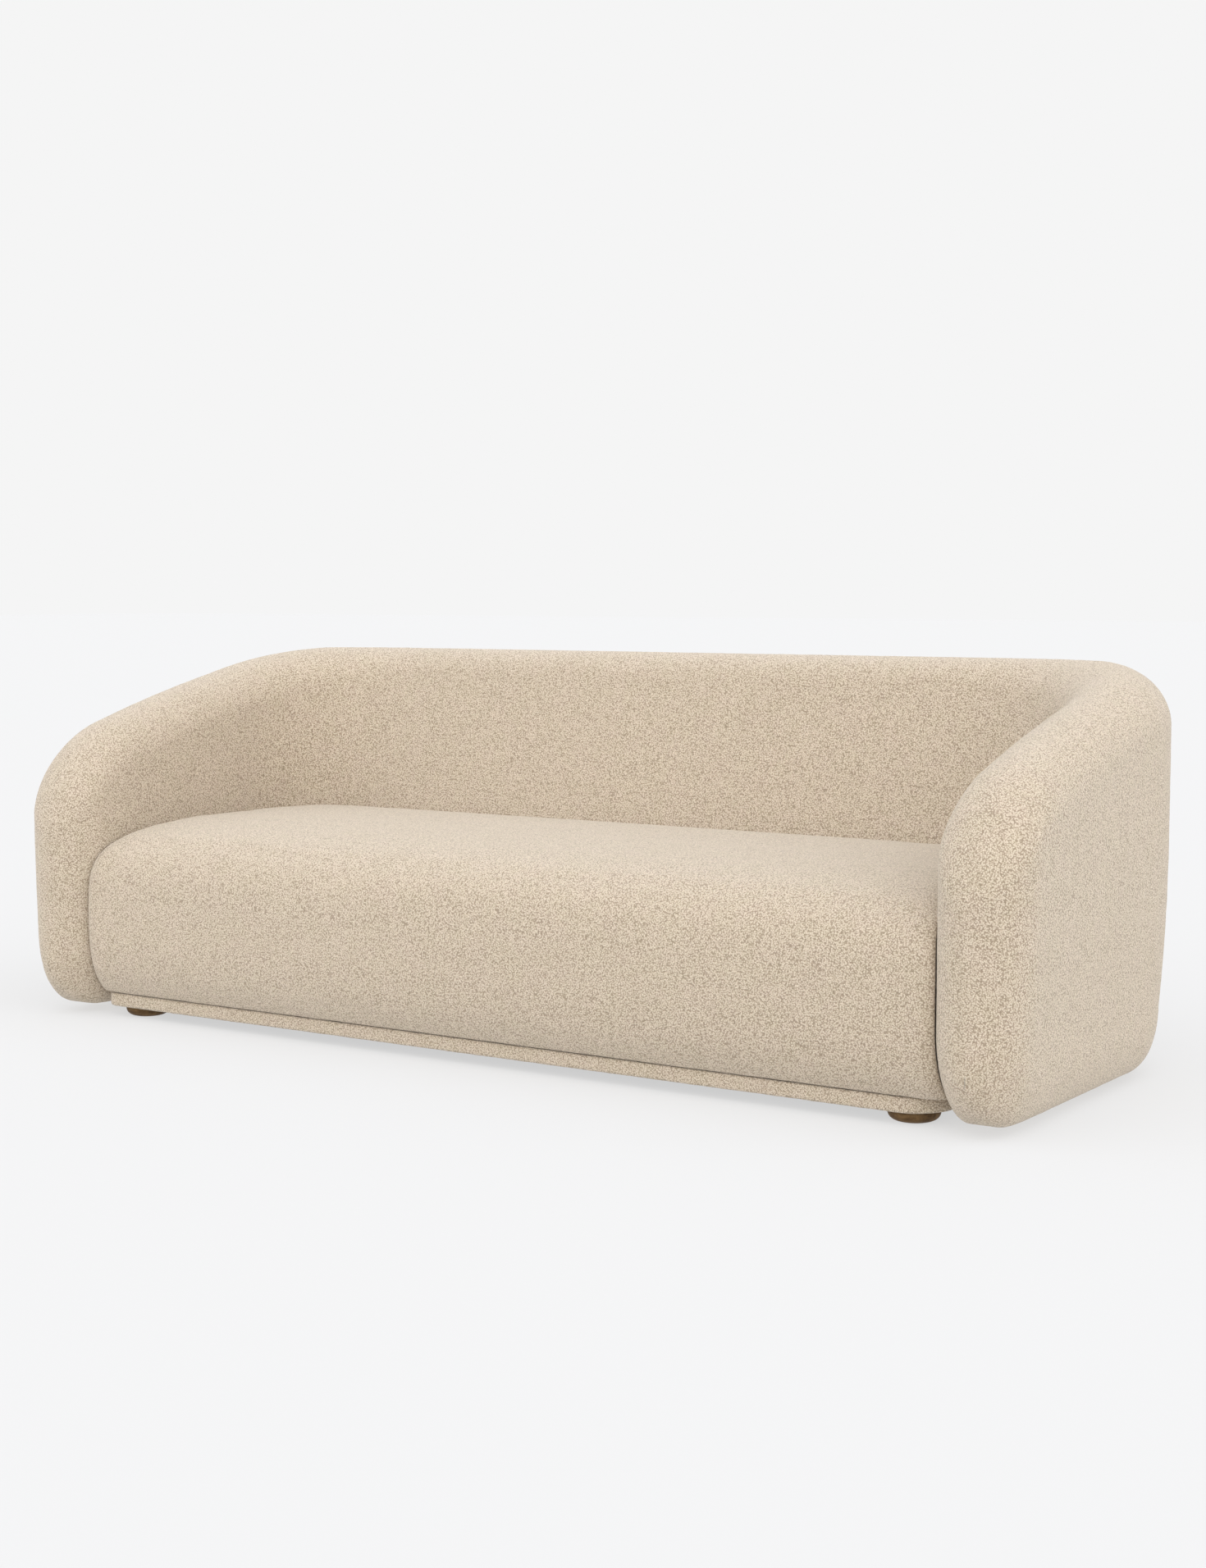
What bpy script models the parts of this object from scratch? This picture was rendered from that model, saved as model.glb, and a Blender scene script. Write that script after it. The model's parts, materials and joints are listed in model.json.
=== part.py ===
"""A three-seat sofa: one rounded upholstered shell makes the back and both arms, around a thick tight
bench seat, a low fabric band and squat turned wooden feet.

Metres, +Z up. The sofa faces -Y, and its origin is on the floor under the middle of its box.
Left and right are as seen by someone who stands in front of the sofa: left is -X.
"""

import math

import bmesh
import bpy

# Overall size
WIDTH = 2.30
DEPTH = 0.96
HEIGHT = 0.77
GAP = 0.0003
COVER_SKIN = 0.004
HALF_WIDTH = WIDTH / 2
FRONT = -DEPTH / 2
REAR = DEPTH / 2

# Back-and-arm wall
ARM_CLEARANCE = 0.016
ARM_THICKNESS = 0.175
BACK_THICKNESS = 0.15
BACK_RAKE = 0.10
OUTER_CORNER_RADIUS = 0.34
INNER_CORNER_RADIUS = 0.28
ARM_SLOPE_DROP = 0.206
ARM_SLOPE_RUN = 0.92
ARM_SLOPE_POWER = 1.57
ARM_NOSE_DROP = 0.18
ARM_NOSE_RUN = 0.18
NOSE_PLAN_RADIUS = 0.095
NOSE_TIP_NARROWING = 0.2
NOSE_FOOT_RADIUS = 0.112
HEM_WIDTH = 0.048
HEM_HEIGHT = 0.115
HEM_ANGLES = (30, 60, 90)
CLOSED_NOSE_STEPS = 6
SIDE_TAPER = 0.025
TAPER_TOP = 0.45
INNER_ARM_X = HALF_WIDTH - ARM_THICKNESS
INNER_BACK_Y = REAR - BACK_THICKNESS
ARM_RUN = INNER_BACK_Y - INNER_CORNER_RADIUS - FRONT
LEAD_IN = REAR - OUTER_CORNER_RADIUS - (FRONT + ARM_RUN)
LEAD_OUT = (HALF_WIDTH - OUTER_CORNER_RADIUS) - (INNER_ARM_X - INNER_CORNER_RADIUS)
CORNER_ARC = OUTER_CORNER_RADIUS * math.pi / 2
TURN_RUN = LEAD_IN + CORNER_ARC + LEAD_OUT
BACK_HALF = INNER_ARM_X - INNER_CORNER_RADIUS
CORNER_CENTRE = (HALF_WIDTH - OUTER_CORNER_RADIUS, REAR - OUTER_CORNER_RADIUS)

# Seat; the lower rings are (share of the tuck, rise), the upper ones (inset, share of the crown)
SEAT_FRONT = FRONT + 0.035
SEAT_REAR = INNER_BACK_Y - BACK_RAKE - 0.008
SEAT_HALF_WIDTH = INNER_ARM_X - 0.008
SEAT_BOTTOM = 0.0535
SEAT_EDGE_TOP = 0.395
SEAT_CROWN = 0.425
SEAT_ROLL = 0.09
SEAT_FRONT_RADIUS = 0.05
SEAT_REAR_RADIUS = 0.19
SEAT_TUCK = 0.035
SEAT_LOWER_RINGS = ((1.0, 0.0), (0.35, 0.055), (0.0, 0.13))
SEAT_UPPER_RINGS = ((0.17, 0.75), (0.25, 1.0))
LEAST_FRONT_RADIUS = 0.035
LEAST_REAR_RADIUS = 0.045

# Band and dust cover
BAND_FRONT = SEAT_FRONT + 0.043
BAND_REAR = SEAT_REAR - 0.010
BAND_HALF_WIDTH = SEAT_HALF_WIDTH + 0.006
BAND_BOTTOM = 0.022
BAND_TOP = 0.050
BAND_THICKNESS = 0.020
BAND_CORNER_RADIUS = 0.06
BAND_REAR_RADIUS = 0.24
DUST_COVER_THICKNESS = 0.0008
DUST_COVER_MARGIN = 0.002

# Feet
FOOT_FRONT_X = 0.905
FOOT_FRONT_Y = BAND_FRONT + 0.060
FOOT_REAR_X = 0.760
FOOT_REAR_Y = SEAT_REAR - 0.100
FOOT_CENTRE_Y = -0.110
FOOT_TOP_RADIUS = 0.046
FOOT_BASE_RADIUS = 0.028
BOLT_RADIUS = 0.004
BOLT_CLEARANCE = 0.0005
BOLT_LOW = 0.0075
BOLT_HIGH = 0.046
BLOCK_HALF = 0.026
BLOCK_CORNER = 0.020

# Seat frame
RAIL_THICKNESS = 0.025
RAIL_BOTTOM = 0.0535
RAIL_TOP = 0.190
FRAME_FRONT = BAND_FRONT + 0.035
FRAME_REAR = SEAT_REAR - 0.040
FRAME_HALF_WIDTH = SEAT_HALF_WIDTH - 0.071
FRAME_BACK_HALF = 0.700
FRAME_TURN_Y = FRAME_REAR - 0.180
STRETCHER_WIDTH = 0.045
STRETCHER_TOP = 0.150
FRAME_BOLT_Y = (-0.290, -0.130)
FRAME_BOLT_Z = 0.120
FRAME_BOLT_LENGTH = 0.165

# Seat springs and foam
SPRING_COUNT = 8
SPRING_WIRE_RADIUS = 0.0021
SPRING_SPACING = 0.215
SPRING_BARS = 13
SPRING_HALF_WIDTH = 0.024
SPRING_ARCH = 0.018
SPRING_END_MARGIN = 0.006
FOAM_BOTTOM = 0.222
FOAM_MARGIN = 0.010

# Wall padding and frame
PADDING_MARGIN = 0.008
PADDING_THICKNESS = 0.022
PADDING_BOTTOM = 0.16
PADDING_SPLIT = 0.002
PANEL_INSET = 0.046
PANEL_THICKNESS = 0.015
PANEL_BOTTOM = 0.085
PANEL_TOP_MARGIN = 0.068
PANEL_NOSE_MARGIN = 0.07
PANEL_START = 0.085
ARM_POST_TOP = 0.46
ARM_BASE_LOW = 0.055
POST_SIZE = 0.040
RIB_SIZE = 0.03
BACK_RAIL_LOW = 0.600
BACK_RAIL_HIGH = 0.655
TACK_RAIL_LOW = 0.250
TACK_RAIL_HIGH = 0.310
BOTTOM_RAIL_HIGH = 0.145
WEBBING_WIDTH = 0.060
WEBBING_THICKNESS = 0.002
WEBBING_MARGIN = 0.01
WEBBING_X = (-0.30, 0.30)
BACK_FRAME_FRONT = REAR - PANEL_INSET - POST_SIZE
BACK_FRAME_REAR = REAR - PANEL_INSET
BACK_POST_X = CORNER_CENTRE[0]

# Colours and surfaces
BOUCLE = ("boucle", (0.62, 0.52, 0.40), 0.95, 0.0)
WALNUT = ("walnut", (0.12, 0.065, 0.035), 0.45, 0.0)
HARDWOOD = ("frame_hardwood", (0.62, 0.45, 0.27), 0.60, 0.0)
PLYWOOD = ("plywood", (0.70, 0.55, 0.36), 0.65, 0.0)
SPRING_STEEL = ("spring_steel", (0.30, 0.31, 0.33), 0.35, 1.0)
ZINC_STEEL = ("zinc_steel", (0.66, 0.67, 0.68), 0.35, 1.0)
FOAM = ("foam", (0.86, 0.82, 0.66), 0.90, 0.0)
WADDING = ("wadding", (0.90, 0.90, 0.88), 0.95, 0.0)
CAMBRIC = ("cambric", (0.03, 0.03, 0.03), 0.90, 0.0)
ELASTIC = ("elastic_webbing", (0.10, 0.10, 0.11), 0.80, 0.0)


def clear_scene():
    for old in list(bpy.data.objects):
        bpy.data.objects.remove(old)


def principled(look):
    """The material of a look, made the first time that it is asked for."""
    name, colour, roughness, metallic = look
    material = bpy.data.materials.get(name)
    if material is None:
        material = bpy.data.materials.new(name)
        material.use_nodes = True
        shader = material.node_tree.nodes["Principled BSDF"]
        shader.inputs["Base Color"].default_value = (*colour, 1.0)
        shader.inputs["Roughness"].default_value = roughness
        shader.inputs["Metallic"].default_value = metallic
    return material


def add_mesh(name, mesh_edit, look, smooth_angle=40.0):
    """An object from a bmesh, faces out, smooth where it is round."""
    bmesh.ops.recalc_face_normals(mesh_edit, faces=mesh_edit.faces)
    mesh = bpy.data.meshes.new(name)
    mesh_edit.to_mesh(mesh)
    mesh_edit.free()
    mesh.shade_smooth()
    mesh.set_sharp_from_angle(angle=math.radians(smooth_angle))
    mesh.materials.append(principled(look))
    piece = bpy.data.objects.new(name, mesh)
    bpy.context.scene.collection.objects.link(piece)
    return piece


def add_prism(name, outline, low, high, look):
    """An outline of (x, y) points extruded from z = low to z = high."""
    mesh_edit = bmesh.new()
    bottom = mesh_edit.faces.new([mesh_edit.verts.new((x, y, low)) for x, y in outline])
    raised = bmesh.ops.extrude_face_region(mesh_edit, geom=[bottom])["geom"]
    top_points = [item for item in raised if isinstance(item, bmesh.types.BMVert)]
    bmesh.ops.translate(mesh_edit, vec=(0, 0, high - low), verts=top_points)
    return add_mesh(name, mesh_edit, look)


def add_box(name, low, high, look):
    outline = [(low[0], low[1]), (high[0], low[1]), (high[0], high[1]), (low[0], high[1])]
    return add_prism(name, outline, low[2], high[2], look)


def add_turned(name, profile, centre, look, segments):
    """A profile of (radius, z) points turned about a vertical axis; it starts and ends on the axis."""
    mesh_edit = bmesh.new()
    points = [mesh_edit.verts.new((radius, 0, z)) for radius, z in profile]
    edges = [mesh_edit.edges.new(pair) for pair in zip(points, points[1:])]
    bmesh.ops.spin(
        mesh_edit, geom=points + edges, axis=(0, 0, 1), cent=(0, 0, 0), angle=math.tau, steps=segments
    )
    bmesh.ops.remove_doubles(mesh_edit, verts=mesh_edit.verts, dist=1e-5)
    piece = add_mesh(name, mesh_edit, look)
    piece.location = (*centre, 0)
    return piece


def add_cutter(name, centre, radius, low, high):
    """A round cutter that a Boolean takes away; it isn't part of the sofa."""
    cutter = add_turned(name, [(0, high), (radius, high), (radius, low), (0, low)], centre, ZINC_STEEL, 16)
    cutter.hide_render = True
    cutter.display_type = "WIRE"
    return cutter


def cut(piece, cutter):
    boolean = piece.modifiers.new(cutter.name, "BOOLEAN")
    boolean.operation = "DIFFERENCE"
    boolean.solver = "EXACT"
    boolean.object = cutter


def add_skin(piece, thickness):
    """Gives an open sheet its thickness, inwards."""
    solidify = piece.modifiers.new("skin", "SOLIDIFY")
    solidify.thickness = thickness
    solidify.offset = -1.0
    solidify.use_even_offset = True
    solidify.use_quality_normals = True


def mirrored(outline):
    """The outline on the other side of the sofa's middle plane."""
    return [(-x, y) for x, y in reversed(outline)]


def blend(low, high, share):
    return low + (high - low) * share


def even_run(start, end, steps):
    return [blend(start, end, step / steps) for step in range(steps + 1)]


def arc(centre, radius, start, end, steps):
    """Points on an arc; angles in degrees from +X towards +Y."""
    angles = [math.radians(blend(start, end, step / steps)) for step in range(steps + 1)]
    return [(centre[0] + radius * math.cos(a), centre[1] + radius * math.sin(a)) for a in angles]


# ---------------------------------------------------------------- the back-and-arm wall

TURN_RUNS = even_run(ARM_RUN, ARM_RUN + TURN_RUN, 8)


def wall_pair(along):
    """Outer and inner plan points of the wall on the left half, at a distance along its outer face from
    the arm's front to the middle of the back, and how far it has turned into the back, 0 to 1."""
    if along <= ARM_RUN:
        return (-HALF_WIDTH, FRONT + along), (-INNER_ARM_X, FRONT + along), 0.0
    if along >= ARM_RUN + TURN_RUN:
        x = -max(BACK_HALF - (along - ARM_RUN - TURN_RUN), 0.0)
        return (x, REAR), (x, INNER_BACK_Y), 1.0
    run = along - ARM_RUN
    share = run / TURN_RUN
    if run < LEAD_IN:
        outer = (-HALF_WIDTH, FRONT + along)
    elif run < LEAD_IN + CORNER_ARC:
        angle = (run - LEAD_IN) / OUTER_CORNER_RADIUS
        outer = (
            -CORNER_CENTRE[0] - OUTER_CORNER_RADIUS * math.cos(angle),
            CORNER_CENTRE[1] + OUTER_CORNER_RADIUS * math.sin(angle),
        )
    else:
        outer = (-CORNER_CENTRE[0] + run - LEAD_IN - CORNER_ARC, REAR)
    turn = share * math.pi / 2
    inner = (
        -INNER_ARM_X + INNER_CORNER_RADIUS * (1 - math.cos(turn)),
        INNER_BACK_Y - INNER_CORNER_RADIUS * (1 - math.sin(turn)),
    )
    return outer, inner, share * share * (3 - 2 * share)


def wall_top(along):
    """Height of the wall's crest: a steep rounded nose, then a long slope that levels out in the back."""
    slope = max(1 - along / ARM_SLOPE_RUN, 0.0) ** ARM_SLOPE_POWER
    nose = min(max(1 - along / ARM_NOSE_RUN, 0.0), 1.0)
    return HEIGHT - ARM_SLOPE_DROP * slope - ARM_NOSE_DROP * (1 - math.sqrt(1 - nose * nose))


def nose_share(along, radius):
    """How much of its full thickness the wall has near an arm's front, which is round in plan."""
    reach = min(max(1 - along / radius, 0.0), 1.0)
    return max(math.sqrt(1 - reach * reach), NOSE_TIP_NARROWING)


def wall_section(along, thickness, rake, inset, hemmed):
    """Outline across the wall as (depth from the outer face, height), from the outer bottom edge over
    the crest to the inner bottom edge. A hemmed one curls under at both edges."""
    share = nose_share(along - inset, NOSE_PLAN_RADIUS - inset)
    half = (thickness / 2 - inset) * share
    middle = thickness / 2
    crest = wall_top(max(along - inset, 0.0)) - inset
    lift = min(max(1 - along / NOSE_FOOT_RADIUS, 0.0), 1.0)
    floor = ARM_CLEARANCE + NOSE_FOOT_RADIUS * (1 - math.sqrt(1 - lift * lift))
    hem_width = HEM_WIDTH * share
    hem_height = HEM_HEIGHT * share
    low = floor + hem_height if hemmed else max(PADDING_BOTTOM, floor + hem_height)
    roll = crest - half

    def taper(z):
        return SIDE_TAPER * share * max((TAPER_TOP - z) / TAPER_TOP, 0.0) ** 2

    def lean(z):
        return rake * min(max((roll - z) / (roll - SEAT_EDGE_TOP), 0.0), 1.0) if rake else 0.0

    quarter = [math.radians(angle) for angle in HEM_ANGLES]
    curl = [(hem_width * (1 - math.cos(t)), hem_height * math.sin(t)) for t in quarter]
    bend = min(SEAT_EDGE_TOP, blend(low, roll, 0.5))
    heights = [low, bend, blend(bend, roll, 0.5)]
    outer = [(middle - half + taper(z), z) for z in heights]
    inner = [(middle + half + lean(z), z) for z in reversed(heights)]
    crown = []
    for step in range(9):
        angle = math.pi * (1 - step / 8)
        crown.append((middle + half * math.cos(angle), roll + half * math.sin(angle)))
    if not hemmed:
        return outer + crown + inner
    outer_low = outer[0][0]
    inner_low = inner[-1][0]
    outer_hem = [(outer_low + u, low - z) for u, z in reversed(curl)]
    inner_hem = [(inner_low - u, low - z) for u, z in curl]
    return outer_hem + outer + crown + inner + inner_hem


def section_points(along, side, inset, hemmed):
    """A wall section placed in space; side is -1 on the left half and 1 on the right."""
    outer, inner, turned_in = wall_pair(along)
    across = (inner[0] - outer[0], inner[1] - outer[1])
    thickness = math.hypot(*across)
    outline = wall_section(along, thickness, BACK_RAKE * turned_in, inset, hemmed)
    points = []
    for depth, z in outline:
        x = outer[0] + across[0] * depth / thickness
        y = outer[1] + across[1] * depth / thickness
        points.append((-side * x, y, z))
    return points


def nose_run(inset):
    """Distances along the wall that follow the round plan of an arm's front."""
    radius = NOSE_PLAN_RADIUS - inset
    tip = math.asin(NOSE_TIP_NARROWING)
    angles = even_run(tip, math.pi / 2, 5)
    return [inset + radius * (1 - math.cos(a) / math.cos(tip)) for a in angles]


def add_wall(name, stations, inset, hemmed, closed_front, thickness, look):
    """A sheet lofted through wall sections, open below, then thickened inwards. Each station is a
    distance along the wall and a side, and closed_front lists which of its ends an arm's front closes.
    A hemmed sheet is closed below too along an arm's nose."""
    mesh_edit = bmesh.new()
    rows = []
    for along, side in stations:
        rows.append([mesh_edit.verts.new(p) for p in section_points(along, side, inset, hemmed)])
    for row, following in zip(rows, rows[1:]):
        for i in range(len(row) - 1):
            mesh_edit.faces.new((row[i], row[i + 1], following[i + 1], following[i]))
    if hemmed:
        below = rows[: CLOSED_NOSE_STEPS + 1]
        beyond = rows[-CLOSED_NOSE_STEPS - 1 :]
        for row, following in [*zip(below, below[1:]), *zip(beyond, beyond[1:])]:
            mesh_edit.faces.new((row[-1], row[0], following[0], following[-1]))
    for end in closed_front:
        row = rows[end]
        last = len(row) - 1
        for i in range(last // 2):
            mesh_edit.faces.new(dict.fromkeys((row[i], row[i + 1], row[last - i - 1], row[last - i])))
    piece = add_mesh(name, mesh_edit, look, smooth_angle=60.0)
    add_skin(piece, thickness)
    return piece


def back_and_arm_cover():
    arm = nose_run(0.0) + even_run(NOSE_PLAN_RADIUS, ARM_RUN, 4)[1:]
    back = even_run(TURN_RUNS[-1], TURN_RUNS[-1] + BACK_HALF, 3)[1:]
    left = [(along, -1) for along in arm + TURN_RUNS[1:] + back]
    right = [(along, 1) for along, _ in reversed(left[:-1])]
    return add_wall("back_and_arm_cover", left + right, 0.0, True, (0, -1), COVER_SKIN, BOUCLE)


def arm_padding(side, name):
    runs = nose_run(PADDING_MARGIN) + [blend(NOSE_PLAN_RADIUS, ARM_RUN, 0.5), ARM_RUN]
    runs.append(TURN_RUNS[1] - PADDING_SPLIT)
    stations = [(along, side) for along in runs]
    if side > 0:
        stations.reverse()
    closed = (0,) if side < 0 else (-1,)
    add_wall(name, stations, PADDING_MARGIN, False, closed, PADDING_THICKNESS, WADDING)


def back_padding():
    turn = [TURN_RUNS[1] + PADDING_SPLIT] + TURN_RUNS[2:]
    left = [(along, -1) for along in turn + [TURN_RUNS[-1] + BACK_HALF]]
    right = [(along, 1) for along, _ in reversed(left[:-1])]
    add_wall("back_padding", left + right, PADDING_MARGIN, False, (), PADDING_THICKNESS, WADDING)


# ---------------------------------------------------------------- the seat


def rounded_outline(half_width, front, rear, front_radius, rear_radius, steps):
    """A plan outline with its front and rear corners rounded, counter-clockwise from the right front."""
    front_centre = (half_width - front_radius, front + front_radius)
    rear_centre = (half_width - rear_radius, rear - rear_radius)
    right = arc(front_centre, front_radius, -90, 0, steps) + arc(rear_centre, rear_radius, 0, 90, steps)
    return right + mirrored(right)


def seat_ring(inset, steps):
    return rounded_outline(
        SEAT_HALF_WIDTH - inset,
        SEAT_FRONT + inset,
        SEAT_REAR - inset,
        max(SEAT_FRONT_RADIUS - inset, LEAST_FRONT_RADIUS),
        max(SEAT_REAR_RADIUS - inset, LEAST_REAR_RADIUS),
        steps,
    )


def seat_levels(bottom, margin, tuck):
    """Insets and heights of the seat's rings, from its lower edge up its side and over to the crown."""
    levels = [(tuck * share, bottom + rise) for share, rise in SEAT_LOWER_RINGS]
    for step in range(5):
        angle = math.pi / 2 * step / 4
        inset = SEAT_ROLL * (1 - math.cos(angle))
        height = SEAT_EDGE_TOP - SEAT_ROLL * (1 - math.sin(angle))
        levels.append((inset, height))
    for inset, share in SEAT_UPPER_RINGS:
        levels.append((inset, blend(SEAT_EDGE_TOP, SEAT_CROWN, share)))
    return [(inset + margin, height if height <= bottom else height - margin) for inset, height in levels]


def add_seat_form(name, levels, steps, open_below, look):
    mesh_edit = bmesh.new()
    rings = []
    for inset, height in levels:
        rings.append([mesh_edit.verts.new((x, y, height)) for x, y in seat_ring(inset, steps)])
    for ring, above in zip(rings, rings[1:]):
        for i in range(len(ring)):
            following = (i + 1) % len(ring)
            mesh_edit.faces.new((ring[i], ring[following], above[following], above[i]))
    mesh_edit.faces.new(rings[-1])
    if not open_below:
        mesh_edit.faces.new(list(reversed(rings[0])))
    return add_mesh(name, mesh_edit, look)


def seat_cover():
    piece = add_seat_form("seat_cover", seat_levels(SEAT_BOTTOM, 0.0, SEAT_TUCK), 5, True, BOUCLE)
    add_skin(piece, COVER_SKIN)
    return piece


def seat_foam():
    levels = [level for level in seat_levels(FOAM_BOTTOM, FOAM_MARGIN, 0.0) if level[1] <= FOAM_BOTTOM]
    rising = seat_levels(SEAT_BOTTOM, FOAM_MARGIN, 0.0)
    levels += [level for level in rising if level[1] > FOAM_BOTTOM + 0.02]
    add_seat_form("seat_foam", levels, 4, False, FOAM)


def seat_spring(number):
    """One zig-zag spring that runs from the front rail to the back rail, arched upwards."""
    x = (number - (SPRING_COUNT + 1) / 2) * SPRING_SPACING
    start = FRAME_FRONT + SPRING_END_MARGIN
    pitch = (FRAME_REAR - SPRING_END_MARGIN - start) / SPRING_BARS
    corner = pitch * 0.25
    points = []
    for bar in range(SPRING_BARS + 1):
        y = start + pitch * bar
        side = 1 if bar % 2 else -1
        if bar > 0:
            points.append((-side * (SPRING_HALF_WIDTH - corner), y))
        points.append((side * (SPRING_HALF_WIDTH - corner), y))
        if bar < SPRING_BARS:
            points.append((side * SPRING_HALF_WIDTH, y + pitch / 2))
    curve = bpy.data.curves.new(f"seat_spring_{number}", "CURVE")
    curve.dimensions = "3D"
    curve.bevel_depth = SPRING_WIRE_RADIUS
    curve.bevel_resolution = 0
    curve.use_fill_caps = True
    spline = curve.splines.new("POLY")
    spline.points.add(len(points) - 1)
    rest = RAIL_TOP + SPRING_WIRE_RADIUS + GAP
    for point, (across, y) in zip(spline.points, points):
        share = (y - start) / (pitch * SPRING_BARS)
        point.co = (x + across, y, rest + SPRING_ARCH * math.sin(math.pi * share), 1)
    curve.materials.append(principled(SPRING_STEEL))
    piece = bpy.data.objects.new(curve.name, curve)
    bpy.context.scene.collection.objects.link(piece)


# ---------------------------------------------------------------- the seat frame


def seat_frame():
    inner_front = FRAME_FRONT + RAIL_THICKNESS
    inner_rear = FRAME_REAR - RAIL_THICKNESS
    add_box(
        "seat_front_rail",
        (-FRAME_HALF_WIDTH, FRAME_FRONT, RAIL_BOTTOM),
        (FRAME_HALF_WIDTH, inner_front, RAIL_TOP),
        HARDWOOD,
    )
    add_box(
        "seat_back_rail",
        (-FRAME_BACK_HALF, inner_rear, RAIL_BOTTOM),
        (FRAME_BACK_HALF, FRAME_REAR, RAIL_TOP),
        HARDWOOD,
    )
    half = STRETCHER_WIDTH / 2
    add_box(
        "seat_centre_stretcher",
        (-half, inner_front + GAP, RAIL_BOTTOM),
        (half, inner_rear - GAP, STRETCHER_TOP),
        HARDWOOD,
    )


def seat_side_rail(side, name):
    """A side rail that turns in at the rear to meet the back rail."""
    inner_front = FRAME_FRONT + RAIL_THICKNESS + GAP
    inner_x = FRAME_HALF_WIDTH - RAIL_THICKNESS
    end_x = FRAME_BACK_HALF + GAP
    outline = [
        (FRAME_HALF_WIDTH, inner_front),
        (FRAME_HALF_WIDTH, FRAME_TURN_Y),
        (end_x, FRAME_REAR),
        (end_x, FRAME_REAR - 1.3 * RAIL_THICKNESS),
        (inner_x, FRAME_TURN_Y - 0.5 * RAIL_THICKNESS),
        (inner_x, inner_front),
    ]
    placed = outline if side > 0 else mirrored(outline)
    return add_prism(f"seat_{name}_rail", placed, RAIL_BOTTOM, RAIL_TOP, HARDWOOD)


def turned_sideways(piece, side, y):
    """Lays a turned piece along X, pointing outwards from the inner face of a side rail."""
    piece.location = (side * (FRAME_HALF_WIDTH - RAIL_THICKNESS), y, FRAME_BOLT_Z)
    piece.rotation_euler = (0, side * math.pi / 2, 0)
    return piece


def frame_bolt(side, y, name, joined):
    """A bolt from the seat's side rail to the arm's inner panel, with its hole in all that it joins."""
    head_radius = 1.9 * BOLT_RADIUS
    profile = [
        (0, -GAP - BOLT_RADIUS),
        (head_radius, -GAP - BOLT_RADIUS),
        (head_radius, -GAP),
        (BOLT_RADIUS, -GAP),
        (BOLT_RADIUS, FRAME_BOLT_LENGTH),
        (0, FRAME_BOLT_LENGTH),
    ]
    turned_sideways(add_turned(f"frame_bolt_{name}", profile, (0, 0), ZINC_STEEL, 12), side, y)
    hole = BOLT_RADIUS + BOLT_CLEARANCE
    cutter = add_cutter(f"frame_hole_{name}", (0, 0), hole, -0.01, FRAME_BOLT_LENGTH + 0.01)
    turned_sideways(cutter, side, y)
    for piece in joined:
        cut(piece, cutter)


# ---------------------------------------------------------------- the band, dust cover and feet


def band_strip(name, half, front, rear):
    add_box(name, (-half, front, BAND_BOTTOM), (half, rear, BAND_TOP), BOUCLE)


def band():
    """Four wrapped strips that make a low ring below the seat: the two side strips hold its corners."""
    front_straight = BAND_HALF_WIDTH - BAND_CORNER_RADIUS
    rear_straight = BAND_HALF_WIDTH - BAND_REAR_RADIUS
    band_strip("band_front", front_straight, BAND_FRONT, BAND_FRONT + BAND_THICKNESS)
    band_strip("band_back", rear_straight, BAND_REAR - BAND_THICKNESS, BAND_REAR)
    front_centre = (front_straight + GAP, BAND_FRONT + BAND_CORNER_RADIUS)
    rear_centre = (rear_straight + GAP, BAND_REAR - BAND_REAR_RADIUS)
    outer = arc(front_centre, BAND_CORNER_RADIUS, -90, 0, 6)
    outer += arc(rear_centre, BAND_REAR_RADIUS, 0, 90, 6)
    inner = arc(front_centre, BAND_CORNER_RADIUS - BAND_THICKNESS, -90, 0, 6)
    inner += arc(rear_centre, BAND_REAR_RADIUS - BAND_THICKNESS, 0, 90, 6)
    strip = outer + list(reversed(inner))
    add_prism("band_right", strip, BAND_BOTTOM, BAND_TOP, BOUCLE)
    add_prism("band_left", mirrored(strip), BAND_BOTTOM, BAND_TOP, BOUCLE)


def foot_places():
    places = []
    for row, x, y in (("front", FOOT_FRONT_X, FOOT_FRONT_Y), ("rear", FOOT_REAR_X, FOOT_REAR_Y)):
        places += [(f"{row}_left", -x, y), (f"{row}_right", x, y)]
    return places + [("centre", 0.0, FOOT_CENTRE_Y)]


def foot(name, x, y):
    """A squat turned puck with a flat base, a rounded lower edge and a blind hole for its bolt."""
    top = BAND_BOTTOM - GAP
    hole = BOLT_RADIUS + BOLT_CLEARANCE
    profile = [
        (0, BOLT_LOW - BOLT_CLEARANCE),
        (hole, BOLT_LOW - BOLT_CLEARANCE),
        (hole, top),
        (FOOT_TOP_RADIUS, top),
        (FOOT_TOP_RADIUS, 0.013),
        (FOOT_TOP_RADIUS - 0.004, 0.0075),
        (FOOT_TOP_RADIUS - 0.010, 0.003),
        (FOOT_BASE_RADIUS, 0),
        (0, 0),
    ]
    add_turned(f"foot_{name}", profile, (x, y), WALNUT, 20)


def foot_bolt(name, x, y):
    profile = [(0, BOLT_HIGH), (BOLT_RADIUS, BOLT_HIGH), (BOLT_RADIUS, BOLT_LOW), (0, BOLT_LOW)]
    add_turned(f"foot_bolt_{name}", profile, (x, y), ZINC_STEEL, 12)


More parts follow.
